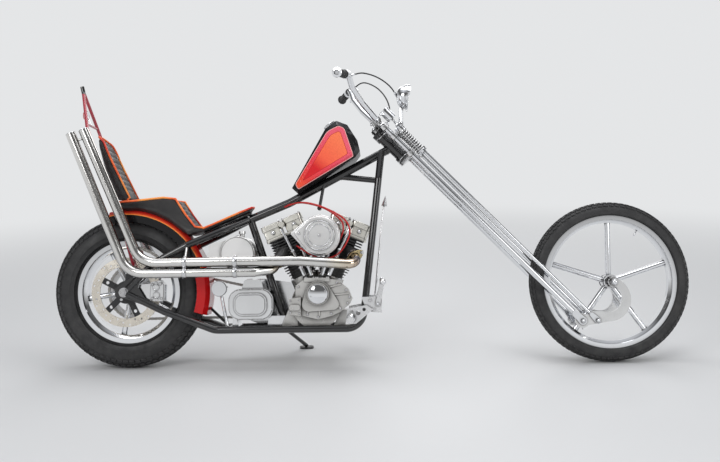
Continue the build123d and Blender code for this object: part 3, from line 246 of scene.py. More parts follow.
def joined(name, pieces):
    """One piece from several, with everything deselected after."""
    bpy.ops.object.select_all(action="DESELECT")
    for piece in pieces:
        piece.select_set(True)
    bpy.context.view_layer.objects.active = pieces[0]
    if len(pieces) > 1:
        bpy.ops.object.join()
    pieces[0].name = name
    pieces[0].data.name = name
    bpy.ops.object.select_all(action="DESELECT")
    return pieces[0]


def closed_up():
    """Points the faces of the mesh in edit mode outwards and leaves it."""
    bpy.ops.mesh.select_all(action="SELECT")
    bpy.ops.mesh.normals_make_consistent(inside=False)
    bpy.ops.object.mode_set(mode="OBJECT")


def turned(section, steps=64):
    """A piece turned about its own Z from (out, along) points: a ring, if none is on the axis."""
    section = [Vector((out, 0, along)) for out, along in section]
    if min(section[0].x, section[-1].x) > 0.00001:
        section.append(section[0])
    bpy.ops.mesh.primitive_plane_add(size=0.001)
    piece = bpy.context.object
    bpy.ops.object.mode_set(mode="EDIT")
    bpy.ops.mesh.merge(type="CENTER")
    bpy.ops.transform.translate(value=section[0])
    for here, there in zip(section, section[1:]):
        bpy.ops.mesh.extrude_region_move(TRANSFORM_OT_translate={"value": there - here})
    bpy.ops.mesh.select_all(action="SELECT")
    bpy.ops.mesh.spin(steps=steps, angle=2 * pi, center=(0, 0, 0), axis=(0, 0, 1))
    bpy.ops.mesh.select_all(action="SELECT")
    bpy.ops.mesh.remove_doubles(threshold=0.00002)
    closed_up()
    bpy.ops.object.shade_smooth_by_angle(angle=radians(32))
    return piece


def coated(thing, material):
    thing.data.materials.clear()
    thing.data.materials.append(material)


def fixed(piece, body, slot, material, *stands_for):
    """Gives a piece that is in its place a material and fixes it to a body."""
    coated(piece, material)
    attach(piece, body)
    if stands_for:
        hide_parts(*stands_for)
    return piece


def fitted(name, pieces, body, slot, material, *stands_for):
    """Joins pieces of the upright machine, leans them onto the side stand and fixes them."""
    return fixed(moved(joined(name, pieces), PARKED), body, slot, material, *stands_for)


def dressed(material, *names):
    """Gives CAD nodes a material."""
    for name in names:
        coated(frame["nodes"][name], material)


def effect(name, inputs, outputs):
    """A shader group with number or colour inputs: its tree, what comes in and where it ends."""
    tree = bpy.data.node_groups.new(name, "ShaderNodeTree")
    for label, value in inputs.items():
        kind = "NodeSocketColor" if isinstance(value, tuple) else "NodeSocketFloat"
        tree.interface.new_socket(label, in_out="INPUT", socket_type=kind).default_value = value
    for label, kind in outputs.items():
        tree.interface.new_socket(label, in_out="OUTPUT", socket_type="NodeSocket" + kind)
    return tree, tree.nodes.new("NodeGroupInput").outputs, tree.nodes.new("NodeGroupOutput")


def noise_in(tree, size, detail, roughness=0.55):
    """Noise over the piece's own coordinates."""
    knobs = {"Vector": here_in(tree), "Scale": size, "Detail": detail, "Roughness": roughness}
    return wired(tree, "TexNoise", knobs).outputs["Fac"]


def laid_over(tree, mask, under, over, **settings):
    """One colour over another where a mask is 1: each is a colour or a socket."""
    under, over = [(*paint, 1) if isinstance(paint, tuple) else paint for paint in (under, over)]
    return wired(tree, "Mix", {"Factor": mask, 6: under, 7: over}, data_type="RGBA", **settings).outputs[2]


def bump_of(tree, height, strength, distance):
    return wired(tree, "Bump", {"Height": height, "Strength": strength, "Distance": distance}).outputs["Normal"]


# Smears: roughness that wanders between a cleaner and a duller value, as handled metal has.
smears, given, result = effect("smears", {"Size": 14.0, "Clean": 0.05, "Dull": 0.2}, {"Roughness": "Float"})
wander = eased(smears, noise_in(smears, given["Size"], 2, 0.5), 0.34, 0.68, given["Clean"], given["Dull"])
feed(result, {"Roughness": wander})

# Dust: a paler film that is thicker near the ground and gathers in patches.
DUST = (0.34, 0.32, 0.29)
film_inputs = {"Color": (0.5, 0.5, 0.5, 1), "Dust": (*DUST, 1), "Amount": 0.2, "Size": 9.0, "Top": 0.5}
film, given, result = effect("dust", film_inputs, {"Color": "Color"})
patches = eased(film, noise_in(film, given["Size"], 6, 0.65), 0.36, 0.74)
low = eased(film, height_of(film, here_in(film)), 0.0, given["Top"], 1.0, 0.12)
share = reckoned(film, "MULTIPLY", reckoned(film, "MULTIPLY", patches, low), given["Amount"])
feed(result, {"Color": laid_over(film, share, given["Color"], given["Dust"])})

# Grain: fine bumps of a given size, for cast skins, rubber and leather.
grains, given, result = effect("grain", {"Size": 400.0, "Depth": 0.3}, {"Height": "Float"})
feed(result, {"Height": reckoned(grains, "MULTIPLY", noise_in(grains, given["Size"], 4), given["Depth"])})


def smeared(tree, size, clean, dull):
    return wired(tree, "Group", {"Size": size, "Clean": clean, "Dull": dull}, node_tree=smears).outputs["Roughness"]


def finish(name, colour, metal=0, clean=0.1, dull=0.25, smear=14, dust=0.15, dust_top=0.6, dust_size=9,
           dust_colour=DUST, grain=0, grain_depth=0.3, coat=0, corner_shade=0):
    """A material with wandering roughness, a film of dust and, if asked, a grain and painted shade in its corners and
    near other parts.
    """
    material, tree, skin = blank(name)
    paint = wired(tree, "Group", {"Color": (*colour, 1), "Dust": (*dust_colour, 1), "Amount": dust,
                                  "Size": dust_size, "Top": dust_top}, node_tree=film, name="film").outputs["Color"]
    # Painted shade: where ambient occlusion finds corners, crevices or other parts close by, the colour is darkened
    # towards near black.
    if corner_shade:
        open_face = wired(tree, "AmbientOcclusion", {"Distance": corner_shade}, samples=8).outputs["AO"]
        paint = laid_over(tree, eased(tree, open_face, 0.40, 0.92), (0.045, 0.040, 0.036), paint)
    feed(skin, {"Metallic": metal, "Coat Weight": coat, "Coat Roughness": 0.04, "Base Color": paint,
                "Roughness": smeared(tree, smear, clean, dull)})
    if grain:
        grainy = wired(tree, "Group", {"Size": grain, "Depth": 1.0}, node_tree=grains).outputs["Height"]
        feed(skin, {"Normal": bump_of(tree, grainy, grain_depth, 0.0006)})
    return material


def tinted(material, paint):
    """Puts a colour that varies under a material's dust."""
    feed(material.node_tree.nodes["film"], {"Color": paint})


tyre_rubber = finish("tyre_rubber", (0.020, 0.020, 0.021), clean=0.48, dull=0.78, smear=20, dust=0.16, dust_top=0.75,
                     dust_size=30, dust_colour=(0.20, 0.19, 0.18), grain=900, grain_depth=0.35)
BLOCK_FOOT = 0.004
BLOCK_SHARE = 0.74


def tyre(end, axle, radius, half, widest, bead_half, lip_r, bead_r, groove, rows, pitches):
    """A tyre by its tread's radius and half width, the radius where its walls are widest, its
    beads, and rows of so many tread blocks with grooves between."""
    crown = radius - groove
    rise = crown - widest
    curve = (rise * rise + half * half) / (2 * rise)

    def tread_at(side):
        return crown - curve + sqrt(curve * curve - side * side)

    section = [(tread_at(half * share), half * share)
               for share in (-1, -0.86, -0.7, -0.5, -0.25, 0, 0.25, 0.5, 0.7, 0.86, 1)]
    wall = [(widest - 0.009, half - 0.0008), (widest - 0.011, half - 0.0002), (widest - 0.014, half - 0.0004),
            (widest - 0.016, half - 0.0022), (lip_r + 0.45 * (widest - lip_r - 0.016), half - 0.006),
            (lip_r + 0.012, bead_half + 0.45 * (half - bead_half - 0.006)),
            (lip_r + 0.008, bead_half + 0.40 * (half - bead_half)), (lip_r + 0.0055, bead_half + 0.0035),
            (lip_r + 0.0035, bead_half + 0.0035), (lip_r + 0.002, bead_half + 0.0015), (lip_r, bead_half),
            (bead_r, bead_half)]
    section += wall + [(out, -side) for out, side in reversed(wall)]
    pieces = [turned(section, 128)]
    step = 2 * pi / pitches
    for sideways, width, angle, late in rows:
        model = slab((width, radius * step * BLOCK_SHARE, groove + BLOCK_FOOT), 0.0011, 1)
        moved(model, turn_about("Z", radians(angle)), Matrix.Translation((0, 0, (groove - BLOCK_FOOT) / 2)),
              turn_about("Y", sideways / curve), turn_about("Z", radians(90)),
              Matrix.Translation((0, sideways, tread_at(sideways))))
        pieces += [copied(model, turn_about("Y", step * (count + late))) for count in range(pitches)]
        bpy.data.objects.remove(model)
    moved(pieces[0], TO_SIDE)
    fitted(end + "_tyre_rubber", [set_at(piece, axle) for piece in pieces], end + "_wheel_set", "tyre_rubber",
           tyre_rubber, end + "_tyre")


# Each row of blocks: sideways place, width, turn, share of a step that it is late by.
FRONT_ROWS = ((-0.031, 0.012, -12, 0.5), (-0.0165, 0.0115, 14, 0.0), (-0.0, 0.013, 0, 0.5),
              (0.0165, 0.0115, -14, 0.0), (0.031, 0.012, 12, 0.5))
REAR_ROWS = ((-0.050, 0.017, -8, 0.5), (-0.0305, 0.016, 16, 0.0), (-0.0105, 0.016, -16, 0.5),
             (0.0105, 0.016, 16, 0.0), (0.0305, 0.016, -16, 0.5), (0.050, 0.017, 8, 0.0))
tyre("front", FRONT_AXLE, radius=0.338, half=0.044, widest=0.301, bead_half=0.028, lip_r=0.2807, bead_r=0.2667,
     groove=0.0035, rows=FRONT_ROWS, pitches=84)
tyre("rear", REAR_AXLE, radius=0.322, half=0.065, widest=0.262, bead_half=0.040, lip_r=0.2172, bead_r=0.2032,
     groove=0.0045, rows=REAR_ROWS, pitches=72)

# Wheels: cast and polished hubs, five tube spokes and drop centre rims, chromed all over,
# with a tyre valve through each rim's well.
chrome = finish("chrome", (0.80, 0.81, 0.83), metal=1, clean=0.04, dull=0.10, smear=10, dust=0.05, corner_shade=0.016)
steel = finish("ground_steel", (0.52, 0.52, 0.53), metal=1, clean=0.22, dull=0.42, smear=40, dust=0.12)
black_rubber = finish("black_rubber", (0.022, 0.022, 0.023), clean=0.42, dull=0.7, smear=30, dust=0.1, grain=1200,
                      grain_depth=0.25)
dressed(chrome, "front_wheel", "rear_wheel")
dressed(steel, "rear_axle", "front_axle")


def rod(points, radius, rounds=2, sides=12, cyclic=False):
    """A round rod or wire along a smooth or straight path, as a mesh."""
    curve = bpy.data.curves.new("rod", "CURVE")
    curve.dimensions = "3D"
    curve.bevel_depth = radius
    curve.bevel_resolution = sides // 4
    curve.resolution_u = 8
    curve.use_fill_caps = True
    line = curve.splines.new("NURBS" if rounds > 1 else "POLY")
    line.points.add(len(points) - 1)
    for knot, point in zip(line.points, points):
        knot.co = (*point, 1)
    line.use_cyclic_u = cyclic
    if rounds > 1:
        line.order_u = rounds + 1
        line.use_endpoint_u = not cyclic
    piece = bpy.data.objects.new("rod", curve)
    scene.collection.objects.link(piece)
    piece.select_set(True)
    bpy.context.view_layer.objects.active = piece
    bpy.ops.object.convert(target="MESH")
    piece.select_set(False)
    bpy.context.view_layer.objects.active = piece
    bpy.ops.object.shade_smooth_by_angle(angle=radians(50))
    return piece


def pointing(way):
    """The turn that brings a piece's own Z onto a direction."""
    return Vector(way).to_track_quat("Z", "Y").to_matrix().to_4x4()


def turned_at(place, way, section, steps):
    """A turned piece that stands at a place in a direction."""
    return set_at(turned(section, steps), place, pointing(way))


VALVE = ((0.0, 0.0), (0.0050, 0.0), (0.0050, 0.002), (0.0030, 0.0035), (0.0030, 0.016), (0.0038, 0.016),
         (0.0038, 0.026), (0.0026, 0.028), (0.0, 0.028))
for end, axle, well, angle in (("front", FRONT_AXLE, 0.2505, 60), ("rear", REAR_AXLE, 0.1835, 80)):
    inwards = Vector((-cos(radians(angle)), 0, -sin(radians(angle))))
    valve = turned_at(axle - inwards * well, inwards, VALVE, 16)
    fitted(end + "_valve", [valve], end + "_wheel_set", "chrome", chrome)

# Fastenings: hexagon bolts on washers, socket screws and domed nuts, zinc or chrome, each
# modelled once and copied to its places.
bright = finish("bright_fastening", (0.66, 0.66, 0.67), metal=1, clean=0.12, dull=0.3, smear=60, dust=0.12)


def hexagon(across, height, edge):
    bpy.ops.mesh.primitive_cylinder_add(vertices=6, radius=across / sqrt(3), depth=height)
    return bevelled(set_at(bpy.context.object, (0, 0, height / 2)), edge)


def dome(radius, foot, rise, steps):
    """A domed top over a foot at a height."""
    return turned([(radius * cos(radians(a)), foot + rise * sin(radians(a))) for a in range(0, 91, 15)], steps)


def hex_head(across, height):
    head = hexagon(across, height, height * 0.14)
    wide = across * 0.72
    washer = turned(((0.0, 0.0), (wide, 0.0), (wide, 0.0009), (across * 0.68, 0.0013), (0.0, 0.0013)), 20)
    return joined("hex_head", [head, washer])


def domed_nut(across, height):
    head = hexagon(across, height * 0.45, height * 0.06)
    return joined("domed_nut", [head, dome(across * 0.47, height * 0.42, height * 0.58, 20)])


def socket_screw(across, height):
    half = across / 2
    return turned(((0.0, height * 0.45), (half * 0.5, height * 0.45), (half * 0.5, height), (half * 0.86, height),
                   (half, height * 0.88), (half, 0.0)), 18)


def fastened(name, head, places, way, body="frame", material=bright, slot="steel"):
    """Copies a fastening to places of the upright machine, all facing one way."""
    copies = [copied(head, pointing(way), Matrix.Translation(place)) for place in places]
    bpy.data.objects.remove(head)
    return fitted(name, copies, body, slot, material)


def ring_of(count, out, x, y, z, start=0.0):
    """Places round a middle, as seen from the side."""
    turns = [radians(start) + 2 * pi * n / count for n in range(count)]
    return [(x + out * cos(turn), y, z + out * sin(turn)) for turn in turns]


RIGHT, LEFT, UP, DOWN = (0, -1, 0), (0, 1, 0), (0, 0, 1), (0, 0, -1)


def fastened_each_side(name, head, places, *fixing):
    """Copies a fastening to places on the left and to the same places on the right."""
    for side_name, side, way in (("right", -1, RIGHT), ("left", 1, LEFT)):
        fastened(name + "_" + side_name, copied(head), [(x, side * y, z) for x, y, z in places], way, *fixing)
    bpy.data.objects.remove(head)


fastened_each_side("front_hub_bolts", socket_screw(0.010, 0.004), ring_of(5, 0.024, FRONT_AXLE.x, 0.046, FRONT_AXLE.z),
                   "front_wheel_set")

# Rear brake: a drilled and ground steel ring on a black carrier, and a silver caliper with
# four pistons that hangs from the axle and is pinned and bolted together.
CARRIER_R = 0.110
LATHE_LINES = 5200


def upright_place(tree, middle):
    """The upright machine's X, Y and Z in metres from a middle point of the parked one."""
    shift = -(turn_about("X", LEAN) @ Vector(middle))
    turned_up = wired(tree, "Mapping", {"Vector": here_in(tree), "Rotation": (LEAN, 0, 0), "Location": shift})
    return turned_up.outputs["Vector"]


def from_rear_axle(tree):
    """A place from the rear axle as seen from the side, and how far out it is."""
    flat = reckoned(tree, "MULTIPLY", upright_place(tree, axle_middle), (1, 0, 1), kind="VectorMath", gives="Vector")
    return flat, reckoned(tree, "LENGTH", flat, kind="VectorMath")


brake_steel, tree, skin = blank("brake_ring")
flat, reach = from_rear_axle(tree)
ground = eased(tree, reach, CARRIER_R - 0.0005, CARRIER_R + 0.0005)
lathe = reckoned(tree, "SINE", reckoned(tree, "MULTIPLY", reach, LATHE_LINES))
feed(skin, {"Metallic": ground, "Base Color": laid_over(tree, ground, (0.018, 0.018, 0.019), (0.76, 0.71, 0.63)),
            "Normal": bump_of(tree, lathe, 0.12, 0.0003), "Roughness": smeared(tree, 30, 0.22, 0.38)})
dressed(brake_steel, "brake_disc")

polished = finish("polished_alloy", (0.80, 0.805, 0.815), metal=1, clean=0.12, dull=0.20, smear=9, dust=0.04,
                  corner_shade=0.010)
dressed(polished, "brake_caliper")
# The disc's screws have low heads, because the caliper's plate passes close to them.
fastened("disc_bolts", socket_screw(0.012, 0.0015), ring_of(5, 0.036, REAR_AXLE.x, -0.0865, REAR_AXLE.z, 20), RIGHT,
         "rear_wheel_set")
CALIPER_Y = -0.112
for name, head, spots, material, slot in (
    ("bolts", socket_screw(0.010, 0.005), ((0.116, 0.296), (0.154, 0.294), (0.116, 0.354), (0.150, 0.356)), bright,
     "steel"),
    ("pin_nuts", hex_head(0.009, 0.004), ((0.135, 0.290), (0.133, 0.360)), bright, "steel"),
    ("pistons", turned(((0.0, 0.0025), (0.0095, 0.0025), (0.0105, 0.0035), (0.0125, 0.0035), (0.0135, 0.0022),
                        (0.0135, 0.0)), 28), ((0.134, 0.309), (0.132, 0.341)), polished, "polished"),
):
    fastened("caliper_" + name, head, [(x, CALIPER_Y, z) for x, z in spots], RIGHT, "frame", material, slot)

# Frame: round steel tubes, bent and welded together, with a hinged stand of bent rod, all
# of it painted gloss black.
black_paint = finish("black_paint", (0.010, 0.010, 0.011), clean=0.10, dull=0.22, smear=16, dust=0.06, dust_top=0.5,
                     coat=0.7)
dressed(black_paint, "frame_backbone", "frame_right", "frame_left", "side_stand")

# Paint: black with a panel on each side of the tank, edged in pale pink, that fades from
# orange at the top to red at its tail, under clear lacquer.
TANK_PANEL = ((0.716, 0.766), (0.852, 0.985), (0.902, 1.009), (0.926, 0.998), (0.964, 0.880), (0.729, 0.742))
CORNER_R = 0.012
inset, given, result = effect("panel_inset", {}, {"Inside": "Float", "Along": "Float"})
place = upright_place(inset, PARKED.translation)
inside = None
for (x, z), (next_x, next_z) in zip(TANK_PANEL, TANK_PANEL[1:] + TANK_PANEL[:1]):
    edge = Vector((next_x - x, 0, next_z - z)).normalized()
    inwards = Vector((edge.z, 0, -edge.x))
    away = reckoned(inset, "DOT_PRODUCT", place, inwards, kind="VectorMath")
    away = reckoned(inset, "SUBTRACT", away, inwards.dot(Vector((x, 0, z))))
    inside = away if inside is None else reckoned(inset, "SMOOTH_MIN", inside, away, CORNER_R)
TAIL_WAY = Vector((-0.62, 0, -0.78))
PANEL_TOP, PANEL_TAIL = Vector((0.900, 0, 0.960)), Vector((0.735, 0, 0.765))
along = eased(inset, reckoned(inset, "DOT_PRODUCT", place, TAIL_WAY, kind="VectorMath"), TAIL_WAY.dot(PANEL_TOP),
              TAIL_WAY.dot(PANEL_TAIL))
feed(result, {"Inside": inside, "Along": along})

# Flake: small bright flecks under a candy coat.
flake, given, result = effect("flake", {"Color": (0.5, 0.0, 0.0, 1), "Fleck": 0.25}, {"Color": "Color"})
cells = wired(flake, "TexVoronoi", {"Vector": here_in(flake), "Scale": 1600}).outputs["Color"]
amount = reckoned(flake, "MULTIPLY", eased(flake, cells, 0.55, 1.0), given["Fleck"])
feed(result, {"Color": laid_over(flake, amount, given["Color"], given["Color"], blend_type="ADD")})


def flaked(tree, paint, fleck):
    return wired(tree, "Group", {"Color": paint, "Fleck": fleck}, node_tree=flake).outputs["Color"]


def merged_copy(node, flatten):
    """A copy of a CAD node with its loose triangles merged and, if asked, its flat faces whole."""
    piece = copied(frame["nodes"][node])
    piece.parent = None
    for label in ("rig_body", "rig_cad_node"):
        del piece[label]
    bpy.context.view_layer.objects.active = piece
    piece.select_set(True)
    bpy.ops.object.mode_set(mode="EDIT")
    bpy.ops.mesh.select_all(action="SELECT")
    bpy.ops.mesh.customdata_custom_splitnormals_clear()
    bpy.ops.mesh.remove_doubles(threshold=0.00001)
    if flatten:
        bpy.ops.mesh.dissolve_limited(angle_limit=radians(2))
    bpy.ops.object.mode_set(mode="OBJECT")
    return piece


def softened(node, width, segments, slot, material, body="frame"):
    """Puts a copy with rounded edges in a CAD node's place."""
    piece = bevelled(merged_copy(node, True), width, segments)
    piece.select_set(False)
    piece.name = node + "_finished"
    return fixed(piece, body, slot, material, node)


BLACK = (0.008, 0.008, 0.009)
tank_paint = finish("tank_paint", BLACK, clean=0.10, dull=0.20, smear=9, dust=0.03, coat=0.45)
tree = tank_paint.node_tree
panel = wired(tree, "Group", node_tree=inset).outputs
border = ramp(tree, panel["Along"], (0.0, (0.86, 0.12, 0.18)), (0.55, (0.80, 0.05, 0.075)),
              (0.85, (0.78, 0.045, 0.04)), (1.0, (0.84, 0.085, 0.035)))
middle = ramp(tree, panel["Along"], (0.0, (1.0, 0.21, 0.09)), (0.42, (0.95, 0.13, 0.065)),
              (0.62, (0.68, 0.010, 0.016)), (0.92, (0.68, 0.010, 0.016)), (1.0, (0.92, 0.16, 0.03)))
PINSTRIPE, DARK_LINE, BLUR = (0.92, 0.46, 0.44), (0.42, 0.008, 0.010), 0.0004
paint = BLACK
for inset_by, over in ((0.0, PINSTRIPE), (0.0026, border), (0.0200, DARK_LINE), (0.0216, middle)):
    paint = laid_over(tree, eased(tree, panel["Inside"], inset_by - BLUR, inset_by + BLUR), paint, over)
tinted(tank_paint, flaked(tree, paint, 0.18))
# Its underside is left in dull primer.
facing = height_of(tree, here_in(tree, "Normal"))
feed(tree.nodes["Principled BSDF"], {"Coat Weight": eased(tree, facing, -0.50, -0.26, 0.02, 0.45),
                                     "Specular IOR Level": eased(tree, facing, -0.50, -0.26, 0.02, 0.5)})
softened("fuel_tank", 0.004, 3, "tank_paint", tank_paint)

# Rear fender: pressed steel, black inside and on its skirts, its crown and toe in red that
# lightens to a painted highlight in orange just above the skirt, held by two spacers and a stay.
fender_paint = finish("fender_paint", (0.5, 0.02, 0.02), clean=0.06, dull=0.16, smear=9, dust=0.04, coat=0.3)
tree = fender_paint.node_tree
feed(tree.nodes["Principled BSDF"], {"Specular IOR Level": 0.22})
flat, reach = from_rear_axle(tree)
# The orange stop just above the black skirt is a painted highlight along the fender's shoulder.
bands = ramp(tree, eased(tree, reach, 0.320, 0.3535), (0.0, BLACK), (1.0, BLACK), (0.20, BLACK),
             (0.22, (0.95, 0.36, 0.06)), (0.34, (0.85, 0.10, 0.03)), (0.62, (0.58, 0.018, 0.015)),
             (0.90, (0.48, 0.012, 0.014)), (0.97, BLACK))
toe = eased(tree, height_of(tree, flat), 0.10, 0.06, interpolation_type="SMOOTHSTEP")
red_toe = reckoned(tree, "MULTIPLY", toe, reckoned(tree, "LESS_THAN", reach, 0.350))
tinted(fender_paint, flaked(tree, laid_over(tree, red_toe, bands, (0.56, 0.005, 0.007)), 0.15))
dressed(fender_paint, "rear_fender")

# Back bar: two bent steel rods that meet in a point behind the pad, candy red, with a black
# moulded tip.
CANDY_RED = (0.36, 0.012, 0.03)
bar_paint = finish("bar_paint", CANDY_RED, clean=0.07, dull=0.2, dust=0.05, coat=1.0)
tree = bar_paint.node_tree
tip = eased(tree, height_of(tree, upright_place(tree, axle_middle)), 0.856, 0.858)
tinted(bar_paint, laid_over(tree, tip, CANDY_RED, (0.015, 0.015, 0.016)))
dressed(bar_paint, "sissy_bar")

# Seat and back pad: foam on a base pan, black leather sewn in channels across the sitter,
# smooth down the sides to the fender, with a red and orange corded edge along the top.
leather = finish("black_leather", (0.016, 0.015, 0.016), clean=0.38, dull=0.58, smear=12, dust=0.10, dust_top=1.2,
                 dust_size=14, grain=700, grain_depth=0.5)
cording = finish("corded_edge", (0.55, 0.03, 0.015), clean=0.4, dull=0.6, smear=30, dust=0.05)
tree = cording.node_tree
twist = wired(tree, "TexNoise", {"Vector": here_in(tree), "Scale": 7}).outputs["Fac"]
tinted(cording, ramp(tree, twist, (0.38, (0.62, 0.03, 0.015)), (0.50, (0.88, 0.14, 0.025)),
                     (0.60, (0.95, 0.34, 0.07))))
SEAM_STEP, CHANNEL_STEP = 0.004, 0.026
CHANNEL_DEPTH, CHANNEL_HALF = 0.004, 0.006
SHRINK, SWELL, VOXEL = 0.0025, 0.010, 0.006


def finder_of(points):
    """Finds the nearest of some points."""
    finder = KDTree(len(points))
    for index, point in enumerate(points):
        finder.insert(point, index)
    finder.balance()
    return finder


def puffed(node, seams):
    """A pad's cover over its foam: the CAD solid, blown up a little between its seams."""
    pad = merged_copy(node, False)
    smaller = pad.modifiers.new("smaller", "DISPLACE")
    smaller.strength = -SHRINK
    smaller.mid_level = 0
    skin = pad.modifiers.new("skin", "REMESH")
    skin.mode = "VOXEL"
    skin.voxel_size = VOXEL
    apply_modifiers(pad)
    rest = [vertex.co.copy() for vertex in pad.data.vertices]
    sewn_at = finder_of([PARKED @ point for point in seams])
    held = pad.vertex_groups.new(name="held")
    for vertex in pad.data.vertices:
        away = sewn_at.find(vertex.co)[2]
        held.add([vertex.index], max(0.0, min(1.0, 1.4 - away / 0.010)), "REPLACE")
    cover = pad.modifiers.new("cover", "CLOTH")
    cover.settings.quality = 5
    cover.settings.mass = 0.3
    cover.settings.vertex_group_mass = "held"
    cover.settings.use_pressure = True
    cover.settings.uniform_pressure_force = 4
    cover.settings.effector_weights.gravity = 0
    for step in range(1, 21):
        scene.frame_set(step)
    blown = pad.evaluated_get(bpy.context.evaluated_depsgraph_get())
    places = [vertex.co.copy() for vertex in blown.data.vertices]
    pad.modifiers.remove(cover)
    scene.frame_set(1)
    for vertex, start, there in zip(pad.data.vertices, rest, places):
        rise = there - start
        vertex.co = start + rise * min(1.0, SWELL / max(rise.length, 0.000001))
    return pad


def along_path(points, step):
    """Points every step along straight runs."""
    found = []
    for start, end in zip(points, points[1:]):
        start, end = Vector(start), Vector(end)
        count = max(1, round((end - start).length / step))
        found += [start.lerp(end, n / count) for n in range(count)]
    return found + [Vector(points[-1])]


# The seat's top edge: along, half its width, height.
SEAT_EDGE = ((-0.036, 0.0885, 0.702), (0.030, 0.0905, 0.706), (0.160, 0.0945, 0.718), (0.212, 0.0955, 0.712),
             (0.250, 0.0930, 0.650), (0.292, 0.0905, 0.594), (0.328, 0.0880, 0.588), (0.362, 0.0790, 0.602),
             (0.478, 0.0480, 0.655), (0.524, 0.0340, 0.674))
SEAT_NOSE = (0.530, 0.0, 0.676)
right_edge, left_edge = [[(x, side * half, z) for x, half, z in SEAT_EDGE] for side in (-1, 1)]
seat_rim = right_edge + [SEAT_NOSE] + left_edge[::-1]
seat_seams = along_path(seat_rim, SEAM_STEP)
seat_cover = puffed("seat", seat_seams)

# The pad's front edge in the side view, its face above, and its rounded top from the front.
PAD_EDGE = ((0.004, 0.076, 0.712), (0.014, 0.076, 0.722), (-0.049, 0.076, 0.850), (-0.072, 0.076, 0.900))
PAD_PROFILE = ((-0.049, 0.850), (-0.100, 0.962), (-0.133, 0.990))
PAD_ROUND, PAD_MIDDLE = 0.0779, 0.9171


def pad_face_at(z):
    """How far back the pad's front face and its sloped top are at a height."""
    for (x, low), (next_x, high) in zip(PAD_PROFILE, PAD_PROFILE[1:]):
        if z <= high:
            return x + (next_x - x) * (z - low) / (high - low)
    return PAD_PROFILE[-1][0]


pad_top = []
for count in range(1, 24):
    a = radians(-12.7 + 205.4 * count / 24)
    z = min(PAD_MIDDLE + PAD_ROUND * sin(a), 0.989)
    pad_top.append((pad_face_at(z) + 0.001, PAD_ROUND * cos(a), z))
pad_rim = [*PAD_EDGE, *pad_top] + [(x, -y, z) for x, y, z in reversed(PAD_EDGE)]
pad_seams = along_path(pad_rim, SEAM_STEP)
pad_cover = puffed("back_pad", pad_seams)


def upholstered(pad, node, line, rim):
    """Sinks channels every so far along a line of a pad's face, up to its rim, and fits the pad."""
    marks = along_path(line, CHANNEL_STEP)
    channels = [(here, (after - before).normalized()) for before, here, after in zip(marks, marks[1:], marks[2:])]
    back = PARKED.inverted()
    edge = finder_of(rim)
    faced = [(back @ vertex.co, back.to_3x3() @ vertex.normal) for vertex in pad.data.vertices]
    for vertex, (here, facing) in zip(pad.data.vertices, faced):
        for channel, way in channels:
            up = Vector((-way.z, 0, way.x))
            off, rise = (here - channel).dot(way), (here - channel).dot(up)
            if abs(off) < CHANNEL_HALF and abs(rise) < 0.022 and facing.dot(up) > 0.55:
                share = min(1.0, (facing.dot(up) - 0.55) / 0.3, max(0.0, edge.find(here)[2] - 0.010) / 0.014)
                here = here - up * CHANNEL_DEPTH * (1 - (off / CHANNEL_HALF) ** 2) * share
        vertex.co = PARKED @ here
    pad.data.update()
    smooth = pad.modifiers.new("smooth", "SUBSURF")
    smooth.levels = 1
    smooth.render_levels = 1
    apply_modifiers(pad)
    bpy.ops.object.shade_smooth()
    pad.select_set(False)
    pad.name = node + "_cover"
    fixed(pad, "frame", "leather", leather, node)


# Channels cross the seat from its step to its nose, and the pad from its top down.
upholstered(seat_cover, "seat", [(x, 0, z) for x, half, z in SEAT_EDGE], seat_seams)
upholstered(pad_cover, "back_pad", [(-0.108, 0, 0.980), (-0.049, 0, 0.850), (0.008, 0, 0.735)], pad_seams)
for name, rim in (("seat_cording", seat_rim), ("back_pad_cording", pad_rim)):
    fitted(name, [rod(rim, 0.0044, rounds=1)], "frame", "leather", cording)

# Seat pan: a folded black plate under the seat's nose, with a rolled edge, screwed down to
# the top tube and the stays.
PAN_ENDS = ((0.520, 0.0320, 0.6562), (0.330, 0.0700, 0.5732))
PAN_DEEP = 0.0115
bpy.ops.mesh.primitive_cube_add(size=1)
seat_pan = bpy.context.object
for vertex in seat_pan.data.vertices:
    x, half, z = PAN_ENDS[0] if vertex.co.x > 0 else PAN_ENDS[1]
    vertex.co = (x, half if vertex.co.y > 0 else -half, z if vertex.co.z > 0 else z - PAN_DEEP)
bevelled(seat_pan, 0.004, 3)
pan_edge = [(x, side * (half + 0.001), z - 0.005) for side, ends in ((-1, PAN_ENDS), (1, PAN_ENDS[::-1]))
            for x, half, z in ends]
fitted("seat_pan", [seat_pan, rod(pan_edge, 0.0030, rounds=1, cyclic=True)], "frame", "black_paint", black_paint)
pan_spots = [(x, side * half, z) for x, half, z in ((0.400, 0.030, 0.5925), (0.452, 0.022, 0.6150))
             for side in (1, -1)]
fastened("seat_pan_screws", socket_screw(0.009, 0.004), pan_spots, (0.40, 0, -0.92))

# Final drive: a 104 link roller chain, each link two waisted side plates on two pins, with
# bushed rollers between, over a 48 tooth rear sprocket and a 24 tooth front one.
CHAIN_PITCH = 0.015875
LINKS = 104
REAR_TEETH = 48
FRONT_TEETH = 24
CHAIN_Y = 0.089
front_shaft = Vector((0.5329, 0, 0.265))
rear_pitch, front_pitch = [CHAIN_PITCH / (2 * sin(pi / teeth)) for teeth in (REAR_TEETH, FRONT_TEETH)]
chain_line = front_shaft - REAR_AXLE
chain_tilt = atan2(chain_line.z, chain_line.x)
spread = acos((rear_pitch - front_pitch) / chain_line.length)
run = sqrt(chain_line.length ** 2 - (rear_pitch - front_pitch) ** 2)
rear_arc = rear_pitch * (2 * pi - 2 * spread)
front_arc = front_pitch * 2 * spread
chain_loop = rear_arc + front_arc + 2 * run


